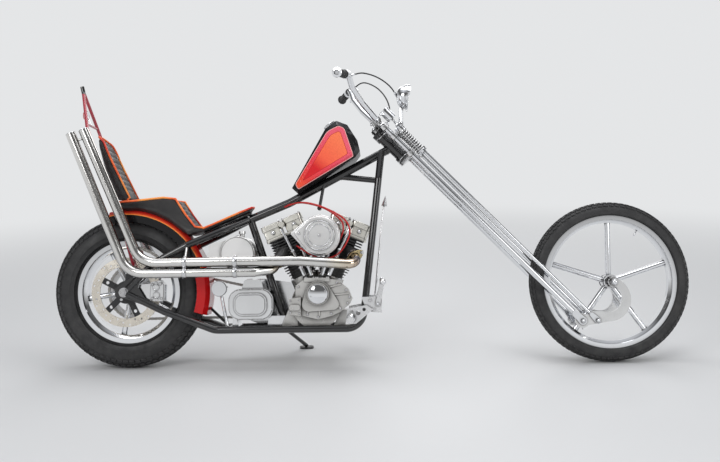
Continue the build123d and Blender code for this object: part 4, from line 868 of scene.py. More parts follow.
def on_chain(way):
    """A place on the chain's loop, as (x, z), by the way along it from the upper rear tangent."""
    way %= chain_loop
    upper, lower = chain_tilt + spread, chain_tilt - spread
    if way < rear_arc:
        middle, angle, out, slide = REAR_AXLE, upper + way / rear_pitch, rear_pitch, 0
    elif way < rear_arc + run:
        middle, angle, out, slide = REAR_AXLE, lower, rear_pitch, way - rear_arc
    elif way < rear_arc + run + front_arc:
        middle, angle, out, slide = front_shaft, lower + (way - rear_arc - run) / front_pitch, front_pitch, 0
    else:
        middle, angle, out, slide = front_shaft, upper, front_pitch, way - rear_arc - run - front_arc
    return (middle.x + cos(angle) * out - sin(angle) * slide, middle.z + sin(angle) * out + cos(angle) * slide)


chain_steel = finish("chain_steel", (0.40, 0.39, 0.37), metal=1, clean=0.28, dull=0.5, smear=60, dust=0.35,
                     dust_size=40, dust_colour=(0.05, 0.04, 0.035))
pins = [on_chain(chain_loop * count / LINKS) for count in range(LINKS)]


def thickened(way):
    """Draws the flat shape that was just made out into a solid."""
    bpy.ops.object.mode_set(mode="EDIT")
    bpy.ops.mesh.select_all(action="SELECT")
    bpy.ops.mesh.extrude_region_move(TRANSFORM_OT_translate={"value": way})
    closed_up()
    return bpy.context.object


def side_plate(thick):
    """A waisted link plate with rounded ends, along X from its first pin."""
    outline = []
    for pin, turn, waist in ((CHAIN_PITCH, -60, 0.0048), (0.0, 120, -0.0048)):
        turns = [radians(turn + step * 30) for step in range(5)]
        outline += [(pin + 0.0066 * cos(a), 0.0066 * sin(a)) for a in turns] + [(CHAIN_PITCH / 2, waist)]
    bpy.ops.mesh.primitive_circle_add(vertices=len(outline), radius=0.01, fill_type="NGON")
    for vertex, (x, z) in zip(bpy.context.object.data.vertices, outline):
        vertex.co = (x, -thick / 2, z)
    return thickened((0, thick, 0))


def link(outer):
    plate_y, radius, half = (0.0070, 0.0025, 0.0088) if outer else (0.0052, 0.0050, 0.0043)
    pieces = [set_at(side_plate(0.0016), (0, y, 0)) for y in (-plate_y, plate_y)]
    for pin in (0.0, CHAIN_PITCH):
        bpy.ops.mesh.primitive_cylinder_add(vertices=12, radius=radius, depth=2 * half)
        pieces.append(set_at(bpy.context.object, (pin, 0, 0), turn_about("X", radians(90))))
    whole = joined("link", pieces)
    whole.select_set(True)
    bpy.ops.object.shade_smooth_by_angle(angle=radians(40))
    whole.select_set(False)
    return whole


links_made = []
for first, outer in enumerate((True, False)):
    model = link(outer)
    for (x, z), (next_x, next_z) in list(zip(pins, pins[1:] + pins[:1]))[first::2]:
        run_way = Vector((next_x - x, 0, next_z - z)).normalized()
        turn = Matrix(((run_way.x, 0, -run_way.z), (0, 1, 0), (run_way.z, 0, run_way.x))).to_4x4()
        links_made.append(copied(model, turn, Matrix.Translation((x, CHAIN_Y, z))))
    bpy.data.objects.remove(model)
fitted("roller_chain", links_made, "frame", "steel", chain_steel, "drive_chain")

# Where the outline of a tooth is, as a share of its pitch, and how far it is off the rollers.
TOOTH = ((0.0, -0.0051), (0.16, -0.0042), (0.30, -0.0005), (0.42, 0.0042), (0.58, 0.0042), (0.70, -0.0005),
         (0.84, -0.0042))
SPROCKET_THICK = 0.0075


def sprocket(teeth, middle, pitch_r, inner_r):
    """A toothed ring about Y with a roller of the chain in each hollow."""
    outline = [(2 * pi * (tooth + share) / teeth, pitch_r + off) for tooth in range(teeth) for share, off in TOOTH]
    count = len(outline)
    bpy.ops.mesh.primitive_circle_add(vertices=count, radius=inner_r, fill_type="NOTHING")
    ring = bpy.context.object
    bpy.ops.object.mode_set(mode="EDIT")
    bpy.ops.mesh.select_all(action="SELECT")
    bpy.ops.mesh.extrude_edges_move(TRANSFORM_OT_translate={"value": (0, 0, 0)})
    bpy.ops.object.mode_set(mode="OBJECT")
    inner = [(2 * pi * number / count, inner_r) for number in range(count)]
    for vertex, (a, out) in zip(ring.data.vertices, inner + outline):
        vertex.co = (cos(a) * out, -SPROCKET_THICK / 2, sin(a) * out)
    thickened((0, SPROCKET_THICK, 0))
    bpy.ops.object.shade_smooth_by_angle(angle=radians(30))
    spokes = [(x - middle.x, z - middle.z) for x, z in pins]
    held = [spoke for spoke in spokes if abs(hypot(*spoke) - pitch_r) < 0.0006]
    x, z = held[len(held) // 2]
    return set_at(ring, (middle.x, CHAIN_Y, middle.z), turn_about("Y", -atan2(z, x)))


ring_middle = REAR_AXLE + Vector((0, CHAIN_Y, 0))
rear_parts = [sprocket(REAR_TEETH, REAR_AXLE, rear_pitch, 0.098)]
hub = turned(((0.0178, -0.0115), (0.046, -0.0115), (0.046, -0.0040), (0.050, -0.0036), (0.050, 0.0036),
              (0.0178, 0.0036)), 48)
rear_parts.append(set_at(hub, ring_middle, TO_SIDE))
for count in range(5):
    arm = set_at(slab((0.062, SPROCKET_THICK, 0.022), 0.001), (0.072, 0, 0))
    rear_parts.append(set_at(arm, ring_middle, turn_about("Y", radians(36) + 2 * pi * count / 5)))
fitted("rear_sprocket_ring", rear_parts, "rear_wheel_set", "steel", steel, "rear_sprocket")
fastened("rear_sprocket_bolts", hex_head(0.013, 0.006), ring_of(5, 0.034, REAR_AXLE.x, 0.0926, REAR_AXLE.z), LEFT,
         "rear_wheel_set")
fitted("front_sprocket_ring", [sprocket(FRONT_TEETH, front_shaft, front_pitch, 0.019)], "frame", "steel", steel)

# Engine: sand cast alloy cases with machined covers, black finned iron barrels and heads,
# cast rocker boxes, chromed pushrod tubes, all held with bolts, screws and domed nuts.
cast_alloy = finish("cast_alloy", (0.68, 0.67, 0.65), metal=1, clean=0.24, dull=0.46, smear=16, dust=0.26,
                    dust_size=24, dust_colour=(0.16, 0.14, 0.12), grain=1100, grain_depth=0.4, corner_shade=0.030)
bright_cast = finish("bright_cast", (0.88, 0.86, 0.79), metal=1, clean=0.24, dull=0.38, smear=18, dust=0.10,
                     dust_top=0.9, grain=1300, grain_depth=0.15, corner_shade=0.014)
fin_black = finish("fin_black", (0.014, 0.014, 0.015), clean=0.35, dull=0.6, smear=20, dust=0.18, dust_top=0.8,
                   grain=1300, grain_depth=0.3)
softened("engine_cases", 0.0012, 2, "cast", cast_alloy)
softened("rocker_boxes", 0.0016, 2, "cast", bright_cast)
dressed(fin_black, "cylinders")
dressed(chrome, "pushrod_tubes")
CRANK = Vector((0.799, 0, 0.250))
CYLINDER_LEAN = 22.5


def on_cylinder(lean, across, side, out):
    """A place on a cylinder: across it fore and aft, sideways, and out along its axis."""
    a = radians(lean)
    return CRANK + Vector((sin(a) * out + cos(a) * across, side, cos(a) * out - sin(a) * across))


# The right side's screws: name, width and height of the head, face, places.
COVER_FACE = -0.104
for name, across, high, face, spots in (
    ("cam_cover", 0.009, 0.0045, COVER_FACE,
     ((0.700, 0.240), (0.762, 0.220), (0.807, 0.209), (0.862, 0.223), (0.900, 0.242), (0.930, 0.266), (0.938, 0.290),
      (0.924, 0.320), (0.886, 0.351), (0.725, 0.336))),
    ("timer", 0.007, 0.003, -0.140, [(x, z) for x, y, z in ring_of(2, 0.030, 0.808, 0, 0.306, 20)]),
    ("pump", 0.007, 0.0035, -0.120, ((0.693, 0.230), (0.729, 0.226), (0.693, 0.278), (0.729, 0.282))),
):
    fastened(name + "_screws", socket_screw(across, high), [(x, face, z) for x, z in spots], RIGHT)
fastened("tappet_screws", socket_screw(0.007, 0.004),
         [(x + dx, -0.101, 0.372) for x in (0.777, 0.829) for dx in (-0.022, 0.022)], UP)
timer_cap = turned([(0.0, 0.0035), (0.030, 0.0035), (0.034, 0.0015), (0.0385, 0.0015), (0.0405, 0.0)], 56)
fitted("timer_cap", [set_at(timer_cap, (0.808, -0.1395, 0.306), pointing(RIGHT))], "frame", "chrome", chrome)

# Ribs cast on the cam cover, from its edge in towards the timer.
RIBS = ((0.905, 0.345, 0.850, 0.330), (0.936, 0.305, 0.868, 0.300), (0.900, 0.246, 0.850, 0.276),
        (0.760, 0.222, 0.778, 0.262), (0.812, 0.214, 0.812, 0.254))
ribs = [rod([(x, COVER_FACE, z), (in_x, COVER_FACE, in_z)], 0.0045, rounds=1) for x, z, in_x, in_z in RIBS]
fitted("cam_cover_ribs", ribs, "frame", "cast", cast_alloy)

SHAFTS = (-0.048, 0.048)
leans = (-CYLINDER_LEAN, CYLINDER_LEAN)
fastened("shaft_caps", domed_nut(0.017, 0.009),
         [on_cylinder(lean, across, -0.0490, 0.360) for lean in leans for across in SHAFTS], RIGHT, "frame", chrome,
         "chrome")
for name, lean in zip(("rear", "front"), leans):
    up = (sin(radians(lean)), 0, cos(radians(lean)))
    fastened(name + "_box_screws", domed_nut(0.009, 0.008),
             [on_cylinder(lean, across * share, side, 0.396) for across in (-0.062, 0.062)
              for side in (-0.04464, 0.04464) for share in (1.36, 0.16)], up)
    fastened(name + "_base_nuts", hex_head(0.012, 0.008),
             [on_cylinder(lean, across, side, 0.140) for across in (-0.046, 0.046) for side in (-0.0676, 0.0676)], up)
    crowns = [set_at(slab((0.060, 0.078, 0.007), 0.0034, 3), on_cylinder(lean, across, 0, 0.397),
                     turn_about("Y", radians(lean))) for across in SHAFTS]
    fitted(name + "_box_crowns", crowns, "frame", "cast", bright_cast)

# Pushrod tubes: chromed telescoping covers between the cam cover and the heads, each with a
# rubber ring at its foot and two collars.
PUSHRODS = (((0.764, 0.360), (0.655, 0.580)), ((0.790, 0.360), (0.716, 0.566)), ((0.842, 0.360), (0.943, 0.580)),
            ((0.816, 0.360), (0.884, 0.566)))
COLLAR = ((0.0066, -0.004), (0.0105, -0.004), (0.0118, -0.002), (0.0118, 0.002), (0.0105, 0.004), (0.0066, 0.004))
collars, seals = [], []
for (foot_x, foot_z), (top_x, top_z) in PUSHRODS:
    low, high = Vector((foot_x, -0.092, foot_z)), Vector((top_x, -0.086, top_z))
    up = (high - low).normalized()
    for reach, group in ((0.064, collars), (0.020, seals), (0.140, collars)):
        group.append(turned_at(low + up * reach, up, COLLAR, 24))
fitted("pushrod_collars", collars, "frame", "chrome", chrome)
fitted("pushrod_seals", seals, "frame", "rubber", black_rubber)

# Air cleaner: a spun, buffed teardrop cover over a chromed back plate, with a raised
# round centre, left bare, and two screws; the carburettor behind has a cast bowl.
buffed = finish("buffed_alloy", (0.87, 0.865, 0.86), metal=1, clean=0.27, dull=0.40, smear=9, dust=0.04, corner_shade=0.020)
softened("air_cleaner", 0.0030, 3, "polished", buffed)
dressed(bright_cast, "carburettor")


def hoop(radius, thick, place, way, steps=72, sides=8):
    """A ring of round wire at a place, about a direction."""
    bpy.ops.mesh.primitive_torus_add(major_segments=steps, minor_segments=sides, major_radius=radius,
                                     minor_radius=thick)
    bpy.ops.object.shade_smooth()
    return set_at(bpy.context.object, place, pointing(way))


fitted("air_cleaner_rings", [hoop(out, 0.0016, (0.819, y, 0.547), RIGHT) for out, y in ((0.060, -0.1622),
                                                                                     (0.046, -0.1626))],
       "frame", "chrome", chrome)
fastened("air_cleaner_screws", socket_screw(0.010, 0.003), [(0.735, -0.156, 0.556), (0.819, -0.162, 0.547)], RIGHT)
bowl = turned([(0.0, 0.0), (0.018, 0.0), (0.022, 0.004), (0.022, 0.030), (0.026, 0.030), (0.026, 0.036),
               (0.0, 0.036)], 32)
drain = turned([(0.0, 0.0), (0.005, 0.0), (0.005, 0.006), (0.0, 0.006)], 6)
fitted("carburettor_bowl", [set_at(bowl, (0.803, -0.058, 0.490)), set_at(drain, (0.803, -0.058, 0.485))], "frame",
       "cast", bright_cast)

# Gearbox: a cast case behind a polished stepped cover with a ring of screws, with more screws
# round its top plate and a nut on each of its four mounts.
softened("gearbox", 0.0020, 3, "polished", polished)
COVER_SCREWS = ((-0.086, 0.022), (-0.086, -0.022), (-0.050, 0.058), (0.0, 0.060), (0.050, 0.058), (0.086, 0.022),
                (0.086, -0.022), (0.050, -0.058), (0.0, -0.060), (-0.050, -0.058))
fastened("gearbox_screws", socket_screw(0.009, 0.006),
         [(0.526 + dx, COVER_FACE, 0.265 + dz) for dx, dz in COVER_SCREWS], RIGHT)
fastened("gearbox_top_screws", socket_screw(0.008, 0.004),
         [(x, y, 0.3665) for x in (0.512, 0.558) for y in (-0.070, -0.016, 0.040)], UP)
fastened("gearbox_mount_nuts", hex_head(0.014, 0.008),
         [(x, y, 0.214) for x in (0.455, 0.632) for y in (-0.034, 0.034)], UP)
dressed(chrome, "oil_filter")

# Primary drive cover: one long polished casting with a raised derby plate, screwed round,
# a little in from its edge.
softened("drive_cover", 0.0030, 3, "polished", polished)
cover_edge = [(x + out * cos(radians(a)), z + out * sin(radians(a)))
              for x, z, out, turns in ((0.799, 0.256, 0.072, (-60, -20, 20, 60)),
                                       (0.548, 0.272, 0.092, (110, 150, 190, 230, 265))) for a in turns]
cover_edge += [(0.640, 0.355), (0.725, 0.334), (0.640, 0.187), (0.725, 0.187)]
fastened("drive_cover_screws", socket_screw(0.009, 0.004),
         [(x + (0.67 - x) * 0.045, 0.1475, z + (0.262 - z) * 0.07) for x, z in cover_edge], LEFT)
fastened("clutch_cap_screws", socket_screw(0.008, 0.003), ring_of(5, 0.052, 0.548, 0.152, 0.272, 18), LEFT)

# Oil tank: a rolled and welded alloy can, buffed by hand, with a raised seam round each end
# and a filler cap on top.
softened("oil_tank", 0.0025, 3, "polished", buffed)
fitted("oil_tank_seams", [hoop(0.0705, 0.0018, (0.470, y, 0.478), RIGHT) for y in (-0.091, 0.091)], "frame",
       "polished", buffed)

# Exhaust: two swept steel pipes, plated and a little dulled, straw and blue with heat next
# to the heads, each held to its port by a brass coloured flange on two studs.
PIPE_R = 0.0205
PIPE_Y = -0.158
front_port, rear_port = Vector((0.957, -0.096, 0.461)), Vector((0.641, -0.088, 0.445))
# The plating's painted shade darkens the pipes where they run close to each other and to the engine.
pipe_plate = finish("pipe_plate", (0.76, 0.75, 0.73), metal=1, clean=0.13, dull=0.22, smear=8, dust=0.08, corner_shade=0.035)
tree = pipe_plate.node_tree
cooled = [eased(tree, reckoned(tree, "LENGTH", upright_place(tree, PARKED @ port), kind="VectorMath"), 0.0, reach)
          for port, reach in ((front_port, 0.16), (rear_port, 0.09))]
tinted(pipe_plate, ramp(tree, reckoned(tree, "MINIMUM", *cooled), (0.0, (0.40, 0.32, 0.26)),
                        (0.30, (0.42, 0.40, 0.46)), (0.45, (0.60, 0.47, 0.36)), (0.66, (0.74, 0.68, 0.57)),
                        (0.92, (0.72, 0.71, 0.69))))


def bent(points, radius, steps):
    """A path of straight runs with a round bend at each inner point, as a list of places."""
    points = [Vector(point) for point in points]
    path = [points[0]]
    for before, corner, after in zip(points, points[1:], points[2:]):
        back = (before - corner).normalized()
        on = (after - corner).normalized()
        half = back.angle(on) / 2
        middle = corner + (back + on).normalized() * radius / sin(half)
        first = corner + back * radius / tan(half) - middle
        turn = first.rotation_difference(corner + on * radius / tan(half) - middle)
        path += [middle + Quaternion(turn.axis, turn.angle * step / steps) @ first for step in range(steps + 1)]
    return path + [points[-1]]


# Each port: its name, where the pipe ends in it, the head behind it, how far off the pipe
# turns; then the pipe's tip, its bend below and the end of its run forward.
PIPES = (
    ("front", front_port, Vector((0.922, -0.018, 0.507)), 0.8, (-0.157, 1.000), (0.078, 0.443), (0.737, 0.443)),
    ("rear", rear_port, Vector((0.676, -0.036, 0.506)), 0.6, (-0.211, 0.985), (0.024, 0.400), (0.545, 0.400)),
)
soot = finish("soot", (0.012, 0.011, 0.010), clean=0.7, dull=0.9, smear=60, dust=0.1, grain=900)
pipes, tip_lips, liners = [], [], []
for name, port, head, off, *side_view in PIPES:
    tip, bend, run = [Vector((x, PIPE_Y, z)) for x, z in side_view]
    turn_in = port + (port - head) * off
    up = (tip - bend).normalized()
    upper = bent([tip - up * 0.060, bend, run], 0.100, 16)
    lower = bent([bend, run, turn_in, port], 0.038, 10)
    pipes.append(rod(upper[:-1] + lower[1:], PIPE_R, rounds=1, sides=28))
    sleeve = turned(((0.0185, -0.062), (PIPE_R, -0.062), (PIPE_R, 0.0), (0.0185, 0.0)), 44)
    pipes.append(set_at(sleeve, tip, pointing(up)))
    ring = turned(((PIPE_R - 0.001, 0.0), (0.030, 0.0), (0.030, 0.009), (PIPE_R - 0.001, 0.009)), 40)
    pipes.append(set_at(ring, port, pointing(turn_in - port)))
    tip_lips.append(hoop(0.0196, 0.0016, tip, up, 64, 12))
    liner = turned(((0.0, -0.064), (0.0181, -0.064), (0.0183, -0.003), (0.0178, -0.003), (0.0176, -0.0632),
                    (0.0, -0.0632)), 40)
    liners.append(set_at(liner, tip, pointing(up)))
pipes.append(rod([(-0.143, PIPE_Y, 0.967), (-0.197, PIPE_Y, 0.952)], 0.004, rounds=1))
pipes.append(rod([(0.262, -0.116, 0.508), (0.262, -0.154, 0.451)], 0.006, rounds=1))
fitted("swept_pipes", pipes, "frame", "chrome", pipe_plate, "exhaust_pipes")
brass = finish("brass_flange", (0.62, 0.50, 0.27), metal=1, clean=0.20, dull=0.42, smear=40, dust=0.18)
STUD_OUT = 0.0365
FLANGE_THICK = 0.006


def flange(port, way, across):
    """An oval flange round a pipe at its port, and the places of its two studs."""
    bpy.ops.mesh.primitive_circle_add(vertices=32, radius=0.0215, fill_type="NOTHING")
    plate = bpy.context.object
    bpy.ops.object.mode_set(mode="EDIT")
    bpy.ops.mesh.select_all(action="SELECT")
    bpy.ops.mesh.extrude_region_move(TRANSFORM_OT_translate={"value": (0, 0, 0)})
    bpy.ops.transform.resize(value=(1.30, 1.30, 1))
    bpy.ops.object.mode_set(mode="OBJECT")
    for vertex in plate.data.vertices:
        if hypot(vertex.co.x, vertex.co.y) > 0.025:
            vertex.co.x *= 1 + 0.62 * (vertex.co.x / 0.028) ** 2
    bevelled(thickened((0, 0, FLANGE_THICK)), 0.0012)
    side = (across - way * across.dot(way)).normalized()
    place = port + way * 0.009
    set_at(plate, place, Matrix((side, way.cross(side), way)).transposed().to_4x4())
    return plate, [place + way * FLANGE_THICK + side * out for out in (-STUD_OUT, STUD_OUT)]


for name, port, head, *rest in PIPES:
    way = (port - head).normalized()
    plate, studs = flange(port, way, Vector((0.8, 0, 0.6)))
    fitted(name + "_port_flange", [plate], "frame", "steel", brass)
    fastened(name + "_port_nuts", hex_head(0.011, 0.009), studs, way)

# Pipe ends: a rolled lip round each and soot inside; pressed clamps hold the pipes where the
# straps meet the stays.
fitted("pipe_lips", tip_lips, "frame", "chrome", chrome)
fitted("pipe_liners", liners, "frame", "rubber", soot)
CLAMP = ((PIPE_R + 0.0002, -0.008), (PIPE_R + 0.0020, -0.008), (PIPE_R + 0.0027, -0.006),
         (PIPE_R + 0.0027, 0.006), (PIPE_R + 0.0020, 0.008), (PIPE_R + 0.0002, 0.008))
clamps = [turned_at((x, PIPE_Y, z), (1, 0, 0), CLAMP, 48) for z in (0.443, 0.400)
          for x in (0.262, 0.470)]
fitted("pipe_clamps", clamps, "frame", "steel", bright)
fastened("pipe_clamp_bolts", hex_head(0.008, 0.004), [(x, PIPE_Y, 0.4665) for x in (0.262, 0.470)], UP)

# Fork: chromed legs through two polished trees, the rear pair fixed, the front pair sprung
# and free to slide, both pinned to hook shaped rockers that carry the front axle.
RAKE = radians(44.6)
DOWN_FORK = Vector((sin(RAKE), 0, -cos(RAKE)))
AHEAD = Vector((cos(RAKE), 0, sin(RAKE)))
UP_FORK = pointing(-DOWN_FORK)
LEG_Y = 0.075
SPRUNG_LEG, FIXED_LEG = 0.0745, 0.030


def on_fork(down, ahead, side=0.0):
    """A place on the fork: down its stem from the neck, ahead of it and sideways."""
    return Vector((1.128, side, 0.927)) + DOWN_FORK * down + AHEAD * ahead


dressed(chrome, "rear_legs", "front_legs", "handlebar")
fork_alloy = finish("fork_alloy", (0.76, 0.76, 0.76), metal=1, clean=0.09, dull=0.24, smear=20, dust=0.06,
                    corner_shade=0.012)
softened("fork_trees", 0.0016, 2, "chrome", fork_alloy, "fork")
softened("rockers", 0.0022, 3, "polished", fork_alloy, "fork")

# Springs: one over each sprung leg, eleven turns of plated round wire, closed at both ends,
# between turned cups.
SPRING_TOP, SPRING_FOOT = -0.014, 0.104
SPRING_R, WIRE_R, TURNS = 0.013, 0.0026, 11
SPRING_CUP = ((0.0085, 0.0002), (0.0172, 0.0002), (0.0180, 0.0016), (0.0180, 0.0050), (0.0168, 0.0050),
              (0.0164, 0.0026), (0.0085, 0.0026))
LEG_CAP = ((0.0131, -0.006), (0.0136, -0.005), (0.0136, 0.002), (0.0115, 0.0058), (0.006, 0.0078), (0.0, 0.0082))


def wound(turn):
    """How far down a spring its wire is after so many turns."""
    long = SPRING_FOOT - SPRING_TOP
    if turn < 1:
        return 2 * WIRE_R * turn
    if turn > TURNS - 1:
        return long - 2 * WIRE_R * (TURNS - turn) - 2 * WIRE_R
    return 2 * WIRE_R + (long - 6 * WIRE_R) * (turn - 1) / (TURNS - 2)


coils, cups, leg_caps = [], [], []
for side in (-LEG_Y, LEG_Y):
    path = [on_fork(SPRING_TOP + WIRE_R + wound(step / 20), SPRUNG_LEG + SPRING_R * cos(2 * pi * step / 20),
                    side + SPRING_R * sin(2 * pi * step / 20)) for step in range(TURNS * 20 + 1)]
    coils.append(rod(path, WIRE_R, rounds=1))
    for down, way in ((SPRING_TOP, DOWN_FORK), (SPRING_FOOT, -DOWN_FORK)):
        cups.append(turned_at(on_fork(down, SPRUNG_LEG, side), way, SPRING_CUP, 40))
    leg_caps.append(set_at(turned(LEG_CAP, 32), on_fork(-0.092, FIXED_LEG, side), UP_FORK))
    leg_caps.append(set_at(domed_nut(0.017, 0.014), on_fork(SPRING_TOP - 0.026, SPRUNG_LEG, side), UP_FORK))
spring_wire = finish("spring_wire", (0.70, 0.70, 0.70), metal=1, clean=0.14, dull=0.3, smear=60, dust=0.12)
fitted("coil_springs", coils, "fork", "chrome", spring_wire, "springs")
fitted("spring_cups", cups, "fork", "chrome", chrome)

# Fork fastenings: a stem nut, caps on the legs, pinch bolts in the trees, and on each
# rocker a domed nut at both pivots and a greaser at the rear one.
stem_nut = [hex_head(0.032, 0.010), dome(0.0115, 0.010, 0.008, 28)]
fitted("stem_nut", [set_at(piece, on_fork(-0.1002, 0), UP_FORK) for piece in stem_nut], "fork", "chrome", chrome)
fitted("leg_caps", leg_caps, "fork", "chrome", chrome)
for name, side, way in (("tree_pinch_bolts", -0.0945, RIGHT), ("tree_pinch_bolts_left", 0.0945, LEFT)):
    pinches = [on_fork(down, FIXED_LEG, side) for down in (-0.078, 0.078)]
    fastened(name, socket_screw(0.010, 0.006), pinches, way, "fork")
REAR_PIVOT, FRONT_PIVOT, PIVOT_Z = 1.9087, 1.9713, 0.178
fastened_each_side("pivot_domes", domed_nut(0.0150, 0.010), [(x, 0.0950, PIVOT_Z) for x in (REAR_PIVOT, FRONT_PIVOT)],
                   "fork", chrome, "chrome")
fastened_each_side("axle_dome", domed_nut(0.024, 0.013), [(FRONT_AXLE.x, 0.1030, FRONT_AXLE.z)], "fork", chrome,
                   "chrome")
fastened("riser_bolts", socket_screw(0.009, 0.006),
         [on_fork(down, 0.0105, side) for down in (-0.136, -0.114) for side in (-0.030, 0.030)], -AHEAD, "fork")
GREASER = ((0.0, 0.0), (0.0035, 0.0), (0.0035, 0.003), (0.0020, 0.0045), (0.0028, 0.0065), (0.0018, 0.0085),
           (0.0, 0.0085))
fastened("rocker_greasers", turned(GREASER, 12), [(REAR_PIVOT, y, 0.1483) for y in (-LEG_Y, LEG_Y)], DOWN, "fork")

# Grips: moulded rubber sleeves with ribs, pushed over the bar's ends, each between a collar
# and a chromed cap with a hollow end.
GRIP = [(0.0136, 0.000), (0.0172, 0.000), (0.0172, 0.004)]
for rib in range(9):
    start = 0.008 + rib * 0.0088
    GRIP += [(0.0148, start), (0.0148, start + 0.0022), (0.0163, start + 0.0034), (0.0163, start + 0.0066),
             (0.0148, start + 0.0078)]
GRIP += [(0.0172, 0.088), (0.0172, 0.092), (0.0136, 0.092)]
GRIP_CAP = ((0.0136, -0.0005), (0.0204, -0.0005), (0.0206, 0.001), (0.0206, 0.004), (0.0190, 0.0058),
            (0.0120, 0.0066), (0.0108, 0.0058), (0.0104, 0.0016), (0.0, 0.0012))
sleeves, caps = [], []
for side in (-1, 1):
    outer, inner = Vector((0.906, side * 0.297, 1.192)), Vector((0.948, side * 0.172, 1.208))
    way = (inner - outer).normalized()
    sleeves.append(turned_at(outer, way, GRIP, 36))
    caps.append(turned_at(outer, -way, GRIP_CAP, 40))
fitted("grip_sleeves", sleeves, "fork", "rubber", black_rubber, "grips")
fitted("grip_caps", caps, "fork", "chrome", chrome)
perch = inner.lerp(outer, 0.18)
fastened("perch_screws", socket_screw(0.007, 0.004),
         [perch + Vector((0.004, 0, 0.0178)), perch + Vector((0.038, 0.006, 0.0165))], UP, "fork")

# Cables: black sheathed wire from the grips to the lamp and the upper tree, with a turned
# ferrule at each end.
sheath = finish("cable_sheath", (0.016, 0.016, 0.017), clean=0.30, dull=0.5, smear=30, dust=0.1)
throttle_route = [(0.950, -0.160, 1.204), (0.990, -0.132, 1.226), (1.028, -0.104, 1.226), (1.067, -0.084, 1.216),
                  (1.106, -0.058, 1.196), (1.138, -0.030, 1.168), (1.152, -0.006, 1.142)]
lever_route = [(0.954, 0.160, 1.206), (0.978, 0.134, 1.226), (1.005, 0.109, 1.234), (1.036, 0.087, 1.222),
               (1.075, 0.062, 1.194), (1.109, 0.042, 1.146), (1.124, 0.038, 1.092), (1.112, 0.044, 1.042),
               on_fork(-0.084, 0.040, 0.046)]
sheaths = [rod(route, 0.0030) for route in (throttle_route, lever_route)]
fitted("cable_sheaths", sheaths, "fork", "rubber", sheath, "cables")


def ended(routes, section, steps, in_by=0.0):
    """A turned end on each end of wires that follow routes."""
    ends = []
    for route in routes:
        end, way = Vector(route[0]), (Vector(route[1]) - Vector(route[0])).normalized()
        ends.append(turned_at(end + way * in_by, way, section, steps))
    return ends


FERRULE = ((0.0031, 0.0), (0.0052, 0.0), (0.0052, 0.010), (0.0042, 0.0115), (0.0042, 0.018), (0.0036, 0.0195),
           (0.0031, 0.0195))
cable_ends = [throttle_route, throttle_route[::-1], lever_route, lever_route[::-1]]
fitted("cable_ferrules", ended(cable_ends, FERRULE, 20, 0.012), "fork", "chrome", chrome)

# Headlamp: a spun chrome bowl on a post, a bright dished reflector with a small bulb, and a
# fluted glass under a peaked rim with a clamp screw.
dressed(chrome, "headlamp")
LAMP = Vector((1.176, 0, 1.143))
TO_FRONT = pointing((1, 0, 0))
mirror = finish("lamp_mirror", (0.88, 0.88, 0.88), metal=1, clean=0.03, dull=0.08, dust=0.02)
dish = [(0.0065 + 0.0345 * share, -0.0125 + 0.0235 * share ** 2) for share in (0.0, 0.2, 0.4, 0.6, 0.8, 1.0)]
dish += [(out, along - 0.0008) for out, along in reversed(dish)]
bulb_glass = finish("bulb_glass", (0.85, 0.80, 0.66), clean=0.05, dull=0.12, dust=0.0)
BULB = [(0.0045, -0.012), (0.0045, -0.006)]
BULB += [(0.0062 * cos(radians(a)), 0.001 + 0.0070 * sin(radians(a))) for a in range(-30, 91, 20)]
RIM = ((0.0490, 0.0130), (0.0545, 0.0130), (0.0562, 0.0150), (0.0562, 0.0185), (0.0545, 0.0205), (0.0470, 0.0195),
       (0.0440, 0.0175), (0.0440, 0.0160), (0.0490, 0.0150))
for name, section, steps, slot, material in (
    ("reflector", dish, 56, "chrome", mirror),
    ("bulb", BULB, 24, "clear_glass", bulb_glass),
    ("rim", RIM, 64, "chrome", chrome),
):
    fitted("lamp_" + name, [set_at(turned(section, steps), LAMP, TO_FRONT)], "fork", slot, material)
fluted, tree, skin = blank("fluted_glass")
flutes = wired(tree, "TexWave", {"Vector": here_in(tree), "Scale": 32}, bands_direction="Y", wave_profile="SIN")
feed(skin, {"Base Color": (0.93, 0.95, 0.96, 1), "Roughness": 0.05, "Transmission Weight": 0.92, "IOR": 1.46,
            "Normal": bump_of(tree, flutes.outputs["Fac"], 0.35, 0.001)})
dressed(fluted, "headlamp_lens")
fastened("lamp_rim_screw", socket_screw(0.006, 0.005), [LAMP + Vector((0.0165, 0, -0.0560))], DOWN, "fork")
fastened("lamp_post_bolts", hex_head(0.013, 0.006), [(1.1655, -0.0150, 1.022)], RIGHT, "fork")

# Speedometer: a small chromed can behind the headlamp, with a black face, white ticks and a
# red needle under glass.
dressed(chrome, "speedometer")
FACE = Vector((1.092, -0.020, 1.084))
face_way = Vector((-1, 0, 1)).normalized()
face_black = finish("dial_black", (0.010, 0.010, 0.010), clean=0.3, dull=0.45, dust=0.0)
plate = turned(((0.0, 0.0), (0.0202, 0.0), (0.0202, 0.0008), (0.0, 0.0008)), 48)
fitted("dial_face", [set_at(plate, FACE - face_way * 0.0029, pointing(face_way))], "fork", "black_paint", face_black)
TICK_EDGE, TICK_TALL = 0.0176, 0.0003
ticks = []
for count in range(21):
    wide, long = (0.0009, 0.0042) if count % 5 == 0 else (0.0005, 0.0026)
    bpy.ops.mesh.primitive_cube_add(size=1)
    ticks.append(moved(bpy.context.object, Matrix.Diagonal((wide, long, TICK_TALL, 1)),
                       Matrix.Translation((0, TICK_EDGE - long / 2, 0)), turn_about("Z", radians(120 - 12 * count))))
tick_paint = finish("tick_paint", (0.80, 0.80, 0.76), clean=0.4, dull=0.5, dust=0.0)
to_face = Matrix((Vector(RIGHT), face_way.cross(Vector(RIGHT)), face_way)).transposed().to_4x4()
fitted("dial_ticks", [set_at(tick, FACE - face_way * 0.0019, to_face) for tick in ticks], "fork", "polished",
       tick_paint)
